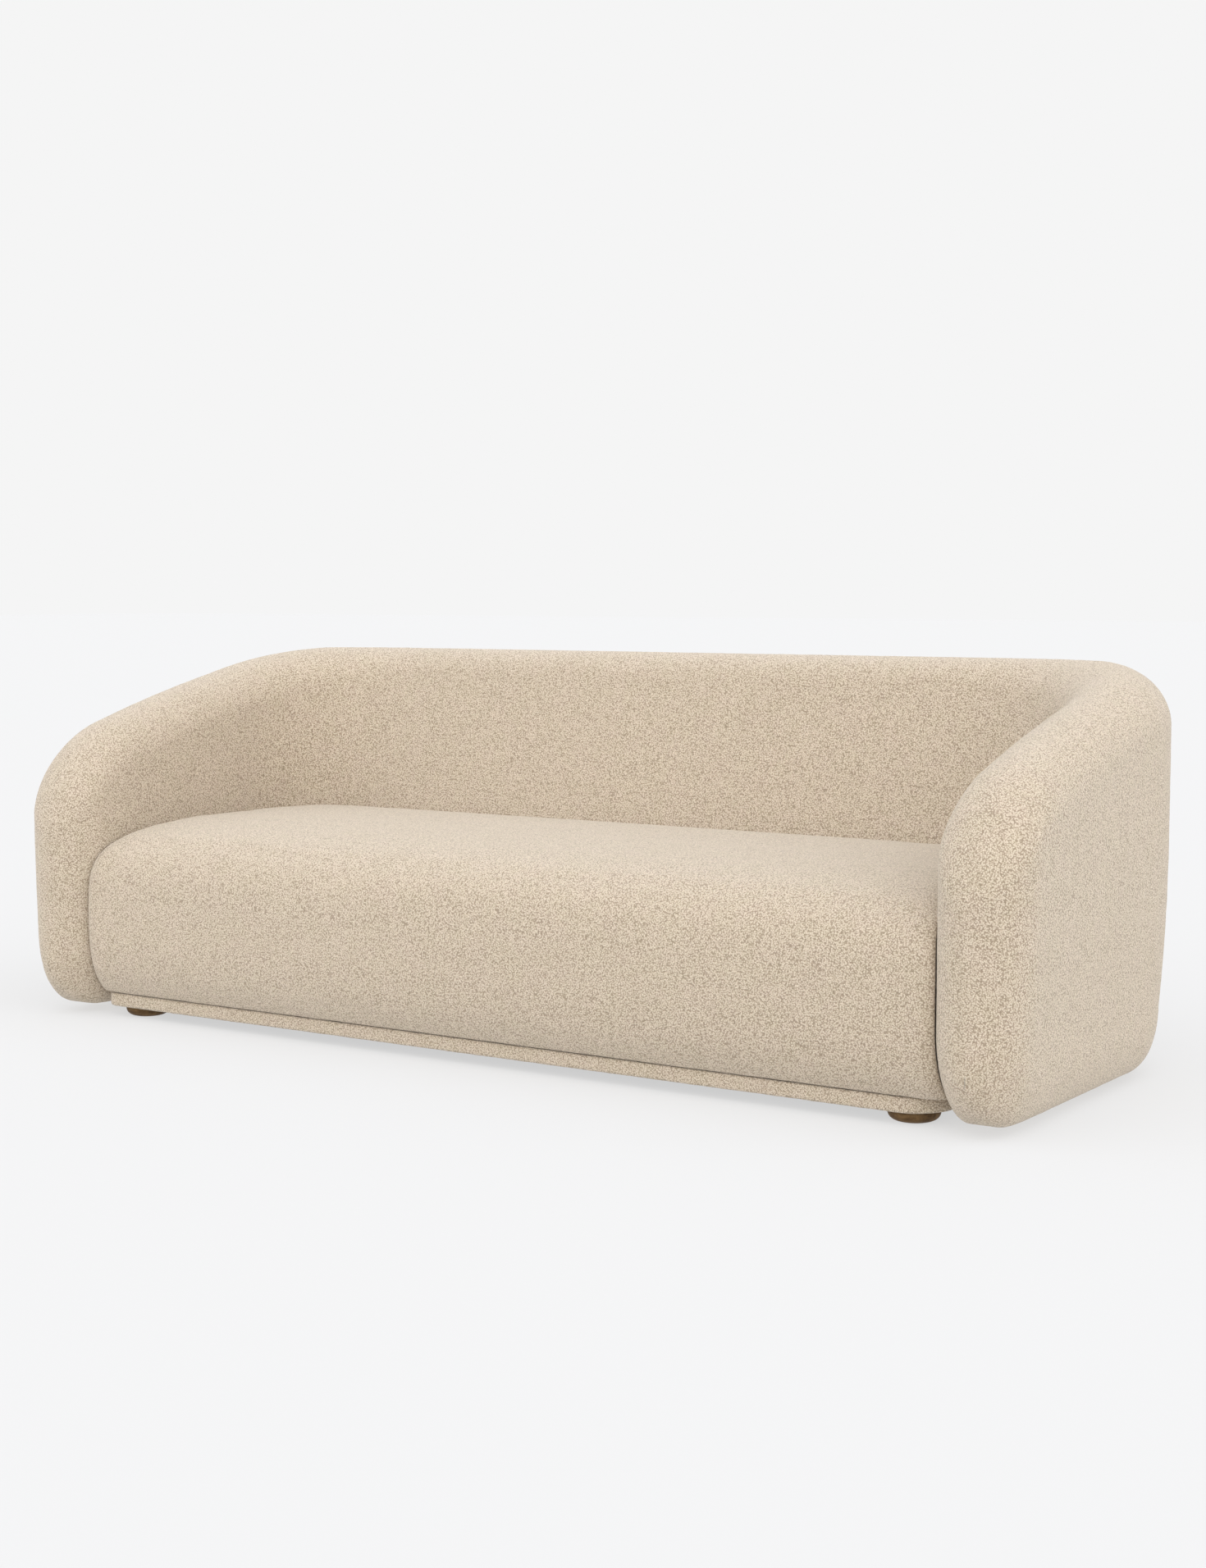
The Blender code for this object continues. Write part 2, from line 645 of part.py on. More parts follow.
def foot_block(name, x, y):
    """A hardwood block below the seat frame that a foot's bolt screws into."""
    low = BAND_BOTTOM + DUST_COVER_THICKNESS + 2 * GAP
    square = rounded_outline(BLOCK_HALF, y - BLOCK_HALF, y + BLOCK_HALF, BLOCK_CORNER, BLOCK_CORNER, 3)
    placed = [(x + across, along) for across, along in square]
    block = add_prism(f"foot_block_{name}", placed, low, RAIL_BOTTOM - GAP, HARDWOOD)
    hole = BOLT_RADIUS + BOLT_CLEARANCE
    cut(block, add_cutter(f"bolt_hole_{name}", (x, y), hole, low - 0.01, BOLT_HIGH + 0.001))


def dust_cover():
    """A thin cloth closes the underside inside the band; the foot bolts pass through it."""
    clear = BAND_THICKNESS + DUST_COVER_MARGIN
    outline = rounded_outline(
        BAND_HALF_WIDTH - clear,
        BAND_FRONT + clear,
        BAND_REAR - clear,
        BAND_CORNER_RADIUS - BAND_THICKNESS,
        BAND_REAR_RADIUS - BAND_THICKNESS,
        5,
    )
    high = BAND_BOTTOM + DUST_COVER_THICKNESS
    sheet = add_prism("dust_cover", outline, BAND_BOTTOM, high, CAMBRIC)
    hole = BOLT_RADIUS + BOLT_CLEARANCE
    for name, x, y in foot_places():
        cut(sheet, add_cutter(f"cloth_hole_{name}", (x, y), hole, BAND_BOTTOM - 0.01, high + 0.01))


# ---------------------------------------------------------------- the arm and back frames


def arm_panel(name, side, depth, end):
    """A plywood panel, upright along the arm, whose top edge follows the arm's slope."""
    outline = [(FRONT + PANEL_START, PANEL_BOTTOM), (end, PANEL_BOTTOM)]
    for along in even_run(end - FRONT, PANEL_START, 7):
        drop = PANEL_TOP_MARGIN + PANEL_NOSE_MARGIN * max(1 - along / ARM_RUN, 0.0) ** 3
        outline.append((FRONT + along, wall_top(along) - drop))
    mesh_edit = bmesh.new()
    x = side * (HALF_WIDTH - depth)
    face = mesh_edit.faces.new([mesh_edit.verts.new((x, y, z)) for y, z in outline])
    moved = bmesh.ops.extrude_face_region(mesh_edit, geom=[face])["geom"]
    points = [item for item in moved if isinstance(item, bmesh.types.BMVert)]
    bmesh.ops.translate(mesh_edit, vec=(-side * PANEL_THICKNESS, 0, 0), verts=points)
    return add_mesh(name, mesh_edit, PLYWOOD)


def arm_frame(side, name):
    inner_depth = ARM_THICKNESS - PANEL_INSET - PANEL_THICKNESS
    arm_end = FRONT + ARM_RUN - 0.01
    arm_panel(f"arm_outer_panel_{name}", side, PANEL_INSET, arm_end + LEAD_IN)
    inner_panel = arm_panel(f"arm_inner_panel_{name}", side, inner_depth, arm_end)
    low = HALF_WIDTH - PANEL_INSET - PANEL_THICKNESS - GAP
    high = HALF_WIDTH - inner_depth + GAP
    near, far = sorted((side * low, side * high))
    post_front = FRONT + PANEL_START
    add_box(
        f"arm_front_post_{name}",
        (near, post_front, PANEL_BOTTOM),
        (far, post_front + POST_SIZE, ARM_POST_TOP),
        HARDWOOD,
    )
    add_box(
        f"arm_base_board_{name}",
        (near, post_front, ARM_BASE_LOW),
        (far, arm_end, PANEL_BOTTOM - GAP),
        PLYWOOD,
    )
    return inner_panel


def corner_rib(side, name):
    """A curved plywood rib that carries the top of the wall round a rear corner."""
    radius = OUTER_CORNER_RADIUS - PANEL_INSET
    outer = arc(CORNER_CENTRE, radius, 0, 90, 7)
    inner = arc(CORNER_CENTRE, radius - RIB_SIZE, 0, 90, 7)
    strip = outer + list(reversed(inner))
    placed = strip if side > 0 else mirrored(strip)
    add_prism(f"corner_rib_{name}", placed, BACK_RAIL_LOW, BACK_RAIL_LOW + RIB_SIZE, PLYWOOD)


def back_rail(name, half, low, high):
    add_box(name, (-half, BACK_FRAME_FRONT, low), (half, BACK_FRAME_REAR, high), HARDWOOD)


def back_frame():
    edge = BACK_POST_X - GAP
    inner = edge - POST_SIZE
    back_rail("back_top_rail", edge, BACK_RAIL_LOW, BACK_RAIL_HIGH)
    back_rail("back_tack_rail", inner - GAP, TACK_RAIL_LOW, TACK_RAIL_HIGH)
    back_rail("back_bottom_rail", inner - GAP, PANEL_BOTTOM, BOTTOM_RAIL_HIGH)
    for side, name in ((-1, "left"), (1, "right")):
        near, far = sorted((side * inner, side * edge))
        add_box(
            f"back_post_{name}",
            (near, BACK_FRAME_FRONT, PANEL_BOTTOM),
            (far, BACK_FRAME_REAR, BACK_RAIL_LOW - GAP),
            HARDWOOD,
        )
        corner_rib(side, name)


def back_webbing(number, x):
    """An elastic strap in front of the back frame, from its tack rail to its top rail."""
    rear = BACK_FRAME_FRONT - GAP
    add_box(
        f"back_webbing_{number}",
        (x - WEBBING_WIDTH / 2, rear - WEBBING_THICKNESS, TACK_RAIL_LOW + WEBBING_MARGIN),
        (x + WEBBING_WIDTH / 2, rear, BACK_RAIL_HIGH - WEBBING_MARGIN),
        ELASTIC,
    )


def main():
    clear_scene()
    wall_cover = back_and_arm_cover()
    back_padding()
    back_frame()
    for number, x in enumerate(WEBBING_X, start=1):
        back_webbing(number, x)
    bench_cover = seat_cover()
    seat_foam()
    seat_frame()
    for side, name in ((-1, "left"), (1, "right")):
        arm_padding(side, f"arm_padding_{name}")
        joined = [arm_frame(side, name), seat_side_rail(side, name), wall_cover, bench_cover]
        for place, y in zip(("front", "rear"), FRAME_BOLT_Y):
            frame_bolt(side, y, f"{place}_{name}", joined)
    for number in range(1, SPRING_COUNT + 1):
        seat_spring(number)
    band()
    dust_cover()
    for name, x, y in foot_places():
        foot(name, x, y)
        foot_bolt(name, x, y)
        foot_block(name, x, y)


main()
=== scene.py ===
"""The looks of a rounded boucle sofa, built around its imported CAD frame.

The back-and-arm wall, the seat, the band below it, the feet and the cloth underneath are modelled here
and stand for their CAD nodes. What is inside keeps its CAD mesh and gets a procedural material.
"""

import json
import math

import bmesh
import bpy
import numpy as np
from mathutils import Matrix, Vector, noise
from mathutils.bvhtree import BVHTree


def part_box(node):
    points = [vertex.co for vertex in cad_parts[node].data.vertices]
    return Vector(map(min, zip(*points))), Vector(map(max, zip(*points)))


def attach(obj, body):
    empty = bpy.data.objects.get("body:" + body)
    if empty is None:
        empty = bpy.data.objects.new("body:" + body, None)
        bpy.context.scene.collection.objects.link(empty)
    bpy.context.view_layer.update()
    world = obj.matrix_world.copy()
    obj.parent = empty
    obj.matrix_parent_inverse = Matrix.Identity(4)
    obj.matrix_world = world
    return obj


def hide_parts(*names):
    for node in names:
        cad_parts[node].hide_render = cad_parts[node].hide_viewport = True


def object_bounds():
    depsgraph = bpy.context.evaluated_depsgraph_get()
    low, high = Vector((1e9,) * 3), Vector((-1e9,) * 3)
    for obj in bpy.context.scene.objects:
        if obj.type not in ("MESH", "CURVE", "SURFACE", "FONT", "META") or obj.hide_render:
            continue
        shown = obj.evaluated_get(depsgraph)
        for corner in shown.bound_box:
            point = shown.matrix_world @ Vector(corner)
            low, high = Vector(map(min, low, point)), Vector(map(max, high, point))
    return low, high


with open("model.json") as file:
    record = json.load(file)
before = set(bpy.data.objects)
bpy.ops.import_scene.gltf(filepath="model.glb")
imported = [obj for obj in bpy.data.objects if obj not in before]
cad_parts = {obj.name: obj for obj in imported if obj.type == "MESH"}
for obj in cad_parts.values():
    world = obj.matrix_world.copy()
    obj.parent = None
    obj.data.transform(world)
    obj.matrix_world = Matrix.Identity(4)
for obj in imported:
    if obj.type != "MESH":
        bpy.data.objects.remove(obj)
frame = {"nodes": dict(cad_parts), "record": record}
CAD_LOW, CAD_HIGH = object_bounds()

# The back-and-arm wall, as in CAD
HALF_WIDTH = CAD_HIGH.x
FRONT = CAD_LOW.y
REAR = CAD_HIGH.y
HEIGHT = CAD_HIGH.z
ARM_CLEARANCE = 0.016
ARM_THICKNESS = 0.175
BACK_THICKNESS = 0.15
BACK_RAKE = 0.10
OUTER_CORNER_RADIUS = 0.34
INNER_CORNER_RADIUS = 0.28
ARM_SLOPE_DROP = 0.206
ARM_SLOPE_RUN = 0.92
ARM_SLOPE_POWER = 1.57
ARM_NOSE_DROP = 0.18
ARM_NOSE_RUN = 0.18
NOSE_PLAN_RADIUS = 0.097
NOSE_FOOT_RADIUS = 0.112
HEM_WIDTH = 0.048
HEM_HEIGHT = 0.115
SIDE_TAPER = 0.026
TAPER_TOP = 0.45
NOSE_HEM_GROWTH = 0.8
NOSE_HEM_RUN = 0.17
SEAT_EDGE_TOP = 0.395
INNER_ARM_X = HALF_WIDTH - ARM_THICKNESS
INNER_BACK_Y = REAR - BACK_THICKNESS
CORNER_X = HALF_WIDTH - OUTER_CORNER_RADIUS
CORNER_Y = REAR - OUTER_CORNER_RADIUS
ARM_RUN = INNER_BACK_Y - INNER_CORNER_RADIUS - FRONT
BACK_HALF = INNER_ARM_X - INNER_CORNER_RADIUS
LEAD_IN = CORNER_Y - (FRONT + ARM_RUN)
LEAD_OUT = CORNER_X - BACK_HALF
CORNER_ARC = OUTER_CORNER_RADIUS * math.pi / 2
TURN_RUN = LEAD_IN + CORNER_ARC + LEAD_OUT

# The seat before it is pressed against the wall. Each point of its profile is an inset from its front, an
# inset from its ends and a height. The ends and the rear are squeezed between the arms and the back, so
# they roll in much less.
SEAT_HALF_WIDTH = 0.994
SEAT_FRONT = -0.447
SEAT_REAR = 0.245
SEAT_FRONT_CORNER = 0.035
SEAT_REAR_CORNER = 0.23
SEAT_REAR_SHARE = 0.55
SEAT_PROFILE = (
    (0.066, 0.014, 0.0514),
    (0.052, 0.006, 0.0514),
    (0.045, 0.003, 0.0526),
    (0.038, 0.001, 0.0590),
    (0.026, 0.000, 0.0760),
    (0.012, 0.000, 0.1060),
    (0.003, 0.000, 0.1500),
    (0.000, 0.000, 0.2050),
    (0.001, 0.000, 0.2600),
    (0.006, 0.001, 0.3050),
    (0.019, 0.005, 0.3400),
    (0.042, 0.013, 0.3680),
    (0.080, 0.026, 0.3890),
    (0.130, 0.042, 0.4030),
    (0.190, 0.058, 0.4115),
    (0.260, 0.075, 0.4165),
)
SEAT_CROWN = 0.005
CROWN_POWER_ACROSS = 0.6
CROWN_POWER_DEEP = 0.8
SEAT_REAR_DROP = 0.010
SEAT_END_DROP = 0.014
DROP_FROM_X = 0.65
DROP_FROM_Z = 0.30
DROP_FULL_Z = 0.40
PROFILE_STEPS = 3
SEAT_COLUMNS = 150
SEAT_DEPTH_ROWS = 56
PRESSED_GAP = 0.0022
PRESS_REACH = 0.12

# The seat's swelling: the cloth simulation, the most that it may move a point, and the heights above which
# it starts to count and counts in full
SEAT_PRESSURE = 4.0
CLOTH_FRAMES = 20
CLOTH_QUALITY = 4
SEAT_SWELL = 0.004
SWELL_FROM = 0.07
SWELL_FULL = 0.15

# Fine mesh: steps and numbers of points, and the sizes and heights of the unevenness
WALL_STEP = 0.006
WALL_OUTLINE_LENGTH = 1.72
NOSE_STEPS = 26
SIDE_SAMPLES = 60
CROWN_SAMPLES = 50
LEAN_SAMPLES = 20
HEM_SAMPLES = 16
HALF_CORNER_SAMPLES = 12
MERGE_DISTANCE = 1e-5
NUB_SIZE = 0.0065
NUB_HEIGHT = 0.0004
LUMP_SIZE = 0.035
LUMP_HEIGHT = 0.0004

# The camera stands to the right of the sofa's front and looks slightly down
CAMERA_PLACE = (2.6504, -3.9287, 0.9066)
CAMERA_YAW = 0.5871
CAMERA_PITCH = 0.0830
CAMERA_LENS = 53.72
CAMERA_SENSOR = 36.0
CAMERA_FAR = 200.0

# The backdrop's brightness, and the floor, which glows with it in part
BACKDROP = 0.913
FLOOR_GLOW = 0.65
FLOOR_REACH = 60.0
# The light from above is slightly cooler; sines of the heights where that starts and is reached
SKY_TOP = (0.905, 0.920, 0.970)
SKY_FROM = 0.34
SKY_TO = 0.75
LIGHT_SPREAD = 100.0
# Each wide light: how far it stands to the right of straight ahead and above the horizon, in degrees,
# and its strength
LIGHTS = ((-20.0, 32.0, 1.35), (75.0, 32.0, 1.85))


# ---------------------------------------------------------------- meshes


def placed(name, data):
    """A new object in the scene."""
    piece = bpy.data.objects.new(name, data)
    bpy.context.scene.collection.objects.link(piece)
    return piece


def mesh_piece(name, points, faces, material, stands_for):
    """A smooth piece from its points and faces, riding on the sofa and standing for CAD nodes."""
    mesh = bpy.data.meshes.new(name)
    mesh.from_pydata([tuple(p) for p in points], [], [tuple(f) for f in faces])
    mesh.validate()
    mesh.shade_smooth()
    mesh.materials.append(material)
    piece = placed(name, mesh)
    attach(piece, "root")
    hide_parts(*stands_for)
    return piece


def face_outwards(piece):
    """Merges points that coincide and turns all faces outwards."""
    mesh_edit = bmesh.new()
    mesh_edit.from_mesh(piece.data)
    bmesh.ops.remove_doubles(mesh_edit, verts=mesh_edit.verts, dist=MERGE_DISTANCE)
    bmesh.ops.recalc_face_normals(mesh_edit, faces=mesh_edit.faces)
    mesh_edit.to_mesh(piece.data)
    mesh_edit.free()


def points_of(mesh):
    """A mesh's points, one row each."""
    values = np.zeros(len(mesh.vertices) * 3, np.float32)
    mesh.vertices.foreach_get("co", values)
    return values.reshape(-1, 3).astype(float)


def normals_of(mesh):
    """The normals at a mesh's points, one row each."""
    values = np.zeros(len(mesh.vertices) * 3, np.float32)
    mesh.vertex_normals.foreach_get("vector", values)
    return values.reshape(-1, 3).astype(float)


def move_points(mesh, points):
    """Puts a mesh's points at new places."""
    mesh.vertices.foreach_set("co", np.asarray(points, np.float32).ravel())
    mesh.update()


def grid_faces(rows, columns, closed_rows, closed_columns):
    """Quads over a grid of points stored row by row."""
    faces = []
    last_row = rows if closed_rows else rows - 1
    last_column = columns if closed_columns else columns - 1
    for i in range(last_row):
        near, far = i * columns, (i + 1) % rows * columns
        for j in range(last_column):
            following = (j + 1) % columns
            faces.append((near + j, near + following, far + following, far + j))
    return faces


def roughen(piece):
    """Raises the loops of the boucle and slight unevenness of the padding along the normals."""
    mesh = piece.data
    points, normals = points_of(mesh), normals_of(mesh)
    push = np.zeros(len(points))
    for i, p in enumerate(points):
        at = Vector(p)
        push[i] = NUB_HEIGHT * noise.noise(at / NUB_SIZE) + LUMP_HEIGHT * noise.noise(at / LUMP_SIZE)
    move_points(mesh, points + normals * push[:, None])


# ---------------------------------------------------------------- the back-and-arm wall


def wall_pair(along):
    """Outer and inner plan points of the wall on the left half, at a distance along its outer face from
    the arm's front to the middle of the back, and how far it has turned into the back, 0 to 1."""
    if along <= ARM_RUN:
        return (-HALF_WIDTH, FRONT + along), (-INNER_ARM_X, FRONT + along), 0.0
    if along >= ARM_RUN + TURN_RUN:
        x = -max(BACK_HALF - (along - ARM_RUN - TURN_RUN), 0.0)
        return (x, REAR), (x, INNER_BACK_Y), 1.0
    run = along - ARM_RUN
    share = run / TURN_RUN
    if run < LEAD_IN:
        outer = (-HALF_WIDTH, FRONT + along)
    elif run < LEAD_IN + CORNER_ARC:
        angle = (run - LEAD_IN) / OUTER_CORNER_RADIUS
        outer = (
            -CORNER_X - OUTER_CORNER_RADIUS * math.cos(angle),
            CORNER_Y + OUTER_CORNER_RADIUS * math.sin(angle),
        )
    else:
        outer = (-CORNER_X + run - LEAD_IN - CORNER_ARC, REAR)
    turn = share * math.pi / 2
    inner = (
        -INNER_ARM_X + INNER_CORNER_RADIUS * (1 - math.cos(turn)),
        INNER_BACK_Y - INNER_CORNER_RADIUS * (1 - math.sin(turn)),
    )
    return outer, inner, share * share * (3 - 2 * share)


def wall_top(along):
    """Height of the wall's crest: a steep rounded nose, then a long slope that levels out in the back."""
    slope = max(1 - along / ARM_SLOPE_RUN, 0.0) ** ARM_SLOPE_POWER
    nose = min(max(1 - along / ARM_NOSE_RUN, 0.0), 1.0)
    return HEIGHT - ARM_SLOPE_DROP * slope - ARM_NOSE_DROP * (1 - math.sqrt(1 - nose * nose))


def wall_outline(along, thickness, rake, count):
    """The closed outline across the wall, count points as (depth from the outer face, height)."""
    reach = min(max(1 - along / NOSE_PLAN_RADIUS, 0.0), 1.0)
    share = math.sqrt(1 - reach * reach)
    half = thickness / 2 * share
    middle = thickness / 2
    lift = min(max(1 - along / NOSE_FOOT_RADIUS, 0.0), 1.0)
    bottom = ARM_CLEARANCE + NOSE_FOOT_RADIUS * (1 - math.sqrt(1 - lift * lift))
    fuller = 1 + NOSE_HEM_GROWTH * max(1 - along / NOSE_HEM_RUN, 0.0) ** 2
    hem_width = HEM_WIDTH * share * fuller
    hem_height = HEM_HEIGHT * share * fuller
    low = bottom + hem_height
    roll = wall_top(along) - half

    heights = np.linspace(low, roll, SIDE_SAMPLES)
    taper = SIDE_TAPER * share * np.clip((TAPER_TOP - heights) / TAPER_TOP, 0, None) ** 2
    outer = np.stack([middle - half + taper, heights], 1)
    tilt = math.atan(rake / (roll - SEAT_EDGE_TOP))
    turn = np.linspace(math.pi, tilt, CROWN_SAMPLES)
    crown = np.stack([middle + half * np.cos(turn), roll + half * np.sin(turn)], 1)
    lean_end = (middle + half + rake, min(SEAT_EDGE_TOP, roll))
    inner = np.linspace(lean_end, (lean_end[0], low), LEAN_SAMPLES)
    angles = np.linspace(0, math.pi / 2, HEM_SAMPLES)
    curl = np.stack([hem_width * (1 - np.cos(angles)), hem_height * np.sin(angles)], 1)
    outer_hem = np.array([outer[0][0], low]) + curl[::-1] * (1, -1)
    inner_hem = np.array([lean_end[0], low]) + curl * (-1, -1)
    line = np.concatenate([outer_hem, outer[1:], crown[1:], inner, inner_hem[1:]])
    return resampled(line, count)


def spaced(line, count):
    """Points evenly spaced along an open line, from its start to just before its end."""
    steps = np.hypot(*np.diff(line, axis=0).T)
    travelled = np.concatenate([[0], np.cumsum(steps)])
    at = np.linspace(0, travelled[-1], count, endpoint=False)
    return np.stack([np.interp(at, travelled, line[:, k]) for k in range(2)], 1)


def resampled(line, count):
    """A closed outline again, with its points evenly spaced."""
    return spaced(np.concatenate([line, line[:1]]), count)


def wall_stations():
    """Distances along the wall: close together round an arm's nose, then evenly to the back's middle."""
    angles = np.linspace(0, math.pi / 2, NOSE_STEPS)
    nose = ARM_NOSE_RUN * (1 - np.cos(angles))
    length = ARM_RUN + TURN_RUN + BACK_HALF
    steps = round((length - ARM_NOSE_RUN) / WALL_STEP)
    return [*nose, *np.linspace(ARM_NOSE_RUN, length, steps + 1)[1:]]


def wall_rows():
    """The left half's sections from the arm's front to the middle of the back."""
    count = round(WALL_OUTLINE_LENGTH / WALL_STEP)
    rows = []
    for along in wall_stations():
        outer, inner, turned_in = wall_pair(along)
        across = np.array(inner) - np.array(outer)
        thickness = float(np.hypot(*across))
        outline = wall_outline(along, thickness, BACK_RAKE * turned_in, count)
        plan = np.array(outer) + across / thickness * outline[:, :1]
        rows.append(np.column_stack([plan, outline[:, 1]]))
    return rows


def wall(material):
    """The arms and the back as one tight skin over both halves' sections."""
    rows = wall_rows()
    right = [row * (-1, 1, 1) for row in reversed(rows[:-1])]
    rows = rows + right
    count = len(rows[0])
    faces = grid_faces(len(rows), count, False, True)
    points = np.concatenate(rows)
    piece = mesh_piece("back_and_arms", points, faces, material, ["back_and_arm_cover"])
    face_outwards(piece)
    return piece


# ---------------------------------------------------------------- the seat


def plan_sides(half_width, front, rear, front_radii, rear_radius):
    """The four sides of a rounded plan outline, counter-clockwise from the front, each from the middle
    of one rounded corner to the middle of the next."""
    left_radius, right_radius = front_radii
    corners = (
        (-half_width + left_radius, front + left_radius, left_radius, 180),
        (half_width - right_radius, front + right_radius, right_radius, 270),
        (half_width - rear_radius, rear - rear_radius, rear_radius, 0),
        (-half_width + rear_radius, rear - rear_radius, rear_radius, 90),
    )
    halves = []
    for x, y, radius, start in corners:
        for first in (start, start + 45):
            angles = np.radians(np.linspace(first, first + 45, HALF_CORNER_SAMPLES))
            halves.append(np.stack([x + radius * np.cos(angles), y + radius * np.sin(angles)], 1))
    order = halves[1:] + halves[:1]
    return [np.concatenate(order[i : i + 2]) for i in (0, 2, 4, 6)]


def rounded_plan(half_width, front, rear, front_radii, rear_radius, step):
    """A closed plan outline with rounded corners, evenly spaced, counter-clockwise."""
    line = np.concatenate(plan_sides(half_width, front, rear, front_radii, rear_radius))
    length = np.hypot(*np.diff(np.concatenate([line, line[:1]]), axis=0).T).sum()
    return resampled(line, round(length / step))


def smooth_line(points, steps):
    """A smooth open curve through points, with that many steps between each two."""
    points = np.array(points, float)
    before = np.concatenate([2 * points[:1] - points[1:2], points[:-1]])
    after = np.concatenate([points[1:], 2 * points[-1:] - points[-2:-1]])
    slopes = (after - before) / 2
    line = []
    for i in range(len(points) - 1):
        for t in np.arange(steps) / steps:
            near = (1 + 2 * t) * (1 - t) ** 2 * points[i] + t * (1 - t) ** 2 * slopes[i]
            far = t * t * (3 - 2 * t) * points[i + 1] - t * t * (1 - t) * slopes[i + 1]
            line.append(near + far)
    return [*line, points[-1]]


def seat_plan(front_inset, end_inset):
    """One closed ring of the seat, whose points follow the sides of its plan."""
    sides = plan_sides(
        SEAT_HALF_WIDTH - end_inset,
        SEAT_FRONT + front_inset,
        SEAT_REAR - end_inset * SEAT_REAR_SHARE,
        (SEAT_FRONT_CORNER, SEAT_FRONT_CORNER),
        SEAT_REAR_CORNER,
    )
    counts = (SEAT_COLUMNS, SEAT_DEPTH_ROWS, SEAT_COLUMNS, SEAT_DEPTH_ROWS)
    return np.concatenate([spaced(side, count) for side, count in zip(sides, counts)])


def patch(ring, rise):
    """Points inside a ring, row by row from its front, blended from its four sides, and bulged upwards."""
    wide, deep = SEAT_COLUMNS, SEAT_DEPTH_ROWS
    closed = np.concatenate([ring, ring[:1]])
    front = closed[: wide + 1]
    right = closed[wide : wide + deep + 1]
    rear = closed[wide + deep : 2 * wide + deep + 1][::-1]
    left = closed[2 * wide + deep :][::-1]
    rows = []
    for j in range(1, deep):
        v = j / deep
        row = []
        for i in range(1, wide):
            u = i / wide
            edges = (1 - v) * front[i] + v * rear[i] + (1 - u) * left[j] + u * right[j]
            corners = (1 - u) * (1 - v) * front[0] + u * (1 - v) * front[-1]
            corners = corners + (1 - u) * v * rear[0] + u * v * rear[-1]
            across = math.sin(math.pi * u) ** CROWN_POWER_ACROSS
            lift = rise * across * math.sin(math.pi * v) ** CROWN_POWER_DEEP
            row.append(edges - corners + (0, 0, lift))
        rows.append(row)
    return rows


def patch_faces(ring_start, inner_start, upwards):
    """Quads that join a ring to the rows of points inside it."""
    wide, deep = SEAT_COLUMNS, SEAT_DEPTH_ROWS

    def at(i, j):
        if j == 0:
            return ring_start + i
        if i == wide:
            return ring_start + wide + j
        if j == deep:
            return ring_start + wide + deep + (wide - i)
        if i == 0:
            return ring_start + (2 * wide + deep + (deep - j))
        return inner_start + (j - 1) * (wide - 1) + (i - 1)

    faces = []
    for j in range(deep):
        for i in range(wide):
            quad = (at(i, j), at(i + 1, j), at(i + 1, j + 1), at(i, j + 1))
            faces.append(quad if upwards else quad[::-1])
    return faces


def lowered(points):
    """Lets the seat's top fall away towards its rear and its ends, where the joints pull it down."""
    rear = np.clip(points[:, 1] / SEAT_REAR, 0, 1) ** 2
    ends = np.clip((np.abs(points[:, 0]) - DROP_FROM_X) / (SEAT_HALF_WIDTH - DROP_FROM_X), 0, 1) ** 2
    drop = np.maximum(SEAT_REAR_DROP * rear, SEAT_END_DROP * ends)
    share = np.clip((points[:, 2] - DROP_FROM_Z) / (DROP_FULL_Z - DROP_FROM_Z), 0, 1)
    return np.column_stack([points[:, :2], points[:, 2] - drop * share])


def seat_form():
    """The seat as a tight box cushion: rings from its lower edge over its rolls, closed above and below."""
    rings = []
    for front_inset, end_inset, height in smooth_line(SEAT_PROFILE, PROFILE_STEPS):
        plan = seat_plan(front_inset, end_inset)
        rings.append(np.column_stack([plan, np.full(len(plan), height)]))
    count = len(rings[0])
    faces = grid_faces(len(rings), count, False, True)
    points = np.concatenate(rings)
    for ring, start, rise, upwards in (
        (rings[-1], (len(rings) - 1) * count, SEAT_CROWN, True),
        (rings[0], 0, 0.0, False),
    ):
        inner = np.concatenate(patch(ring, rise))
        faces += patch_faces(start, len(points), upwards)
        points = np.concatenate([points, inner])
    points = lowered(points)
    mesh = bpy.data.meshes.new("seat_form")
    mesh.from_pydata([tuple(p) for p in points], [], faces)
    return placed("seat", mesh)


def applied(piece):
    """Replaces a piece's mesh by what its modifiers make of it."""
    evaluated = piece.evaluated_get(bpy.context.evaluated_depsgraph_get())
    mesh = bpy.data.meshes.new_from_object(evaluated)
    piece.modifiers.clear()
    piece.data = mesh


def relaxed(piece, rounds):
    """Evens out a piece's mesh."""
    soften = piece.modifiers.new("soften", "SMOOTH")
    soften.factor = 0.5
    soften.iterations = rounds
    applied(piece)


def swollen(piece):
    """Inflates the seat a little as cloth under pressure. What comes of it only moves points outwards,
    by at most SEAT_SWELL, so that the foam below stays covered."""
    start, normals = points_of(piece.data), normals_of(piece.data)
    cloth = piece.modifiers.new("stuffing", "CLOTH")
    settings = cloth.settings
    settings.use_pressure = True
    settings.uniform_pressure_force = SEAT_PRESSURE
    settings.effector_weights.gravity = 0.0
    settings.quality = CLOTH_QUALITY
    cloth.collision_settings.use_collision = False
    scene = bpy.context.scene
    for step in range(1, CLOTH_FRAMES + 1):
        scene.frame_set(step)
    applied(piece)
    scene.frame_set(1)
    moved = ((points_of(piece.data) - start) * normals).sum(axis=1, keepdims=True)
    capped = SEAT_SWELL * np.tanh(np.maximum(moved, 0) / SEAT_SWELL)
    rise = np.clip((start[:, 2:] - SWELL_FROM) / (SWELL_FULL - SWELL_FROM), 0, 1)
    move_points(piece.data, start + normals * capped * rise)


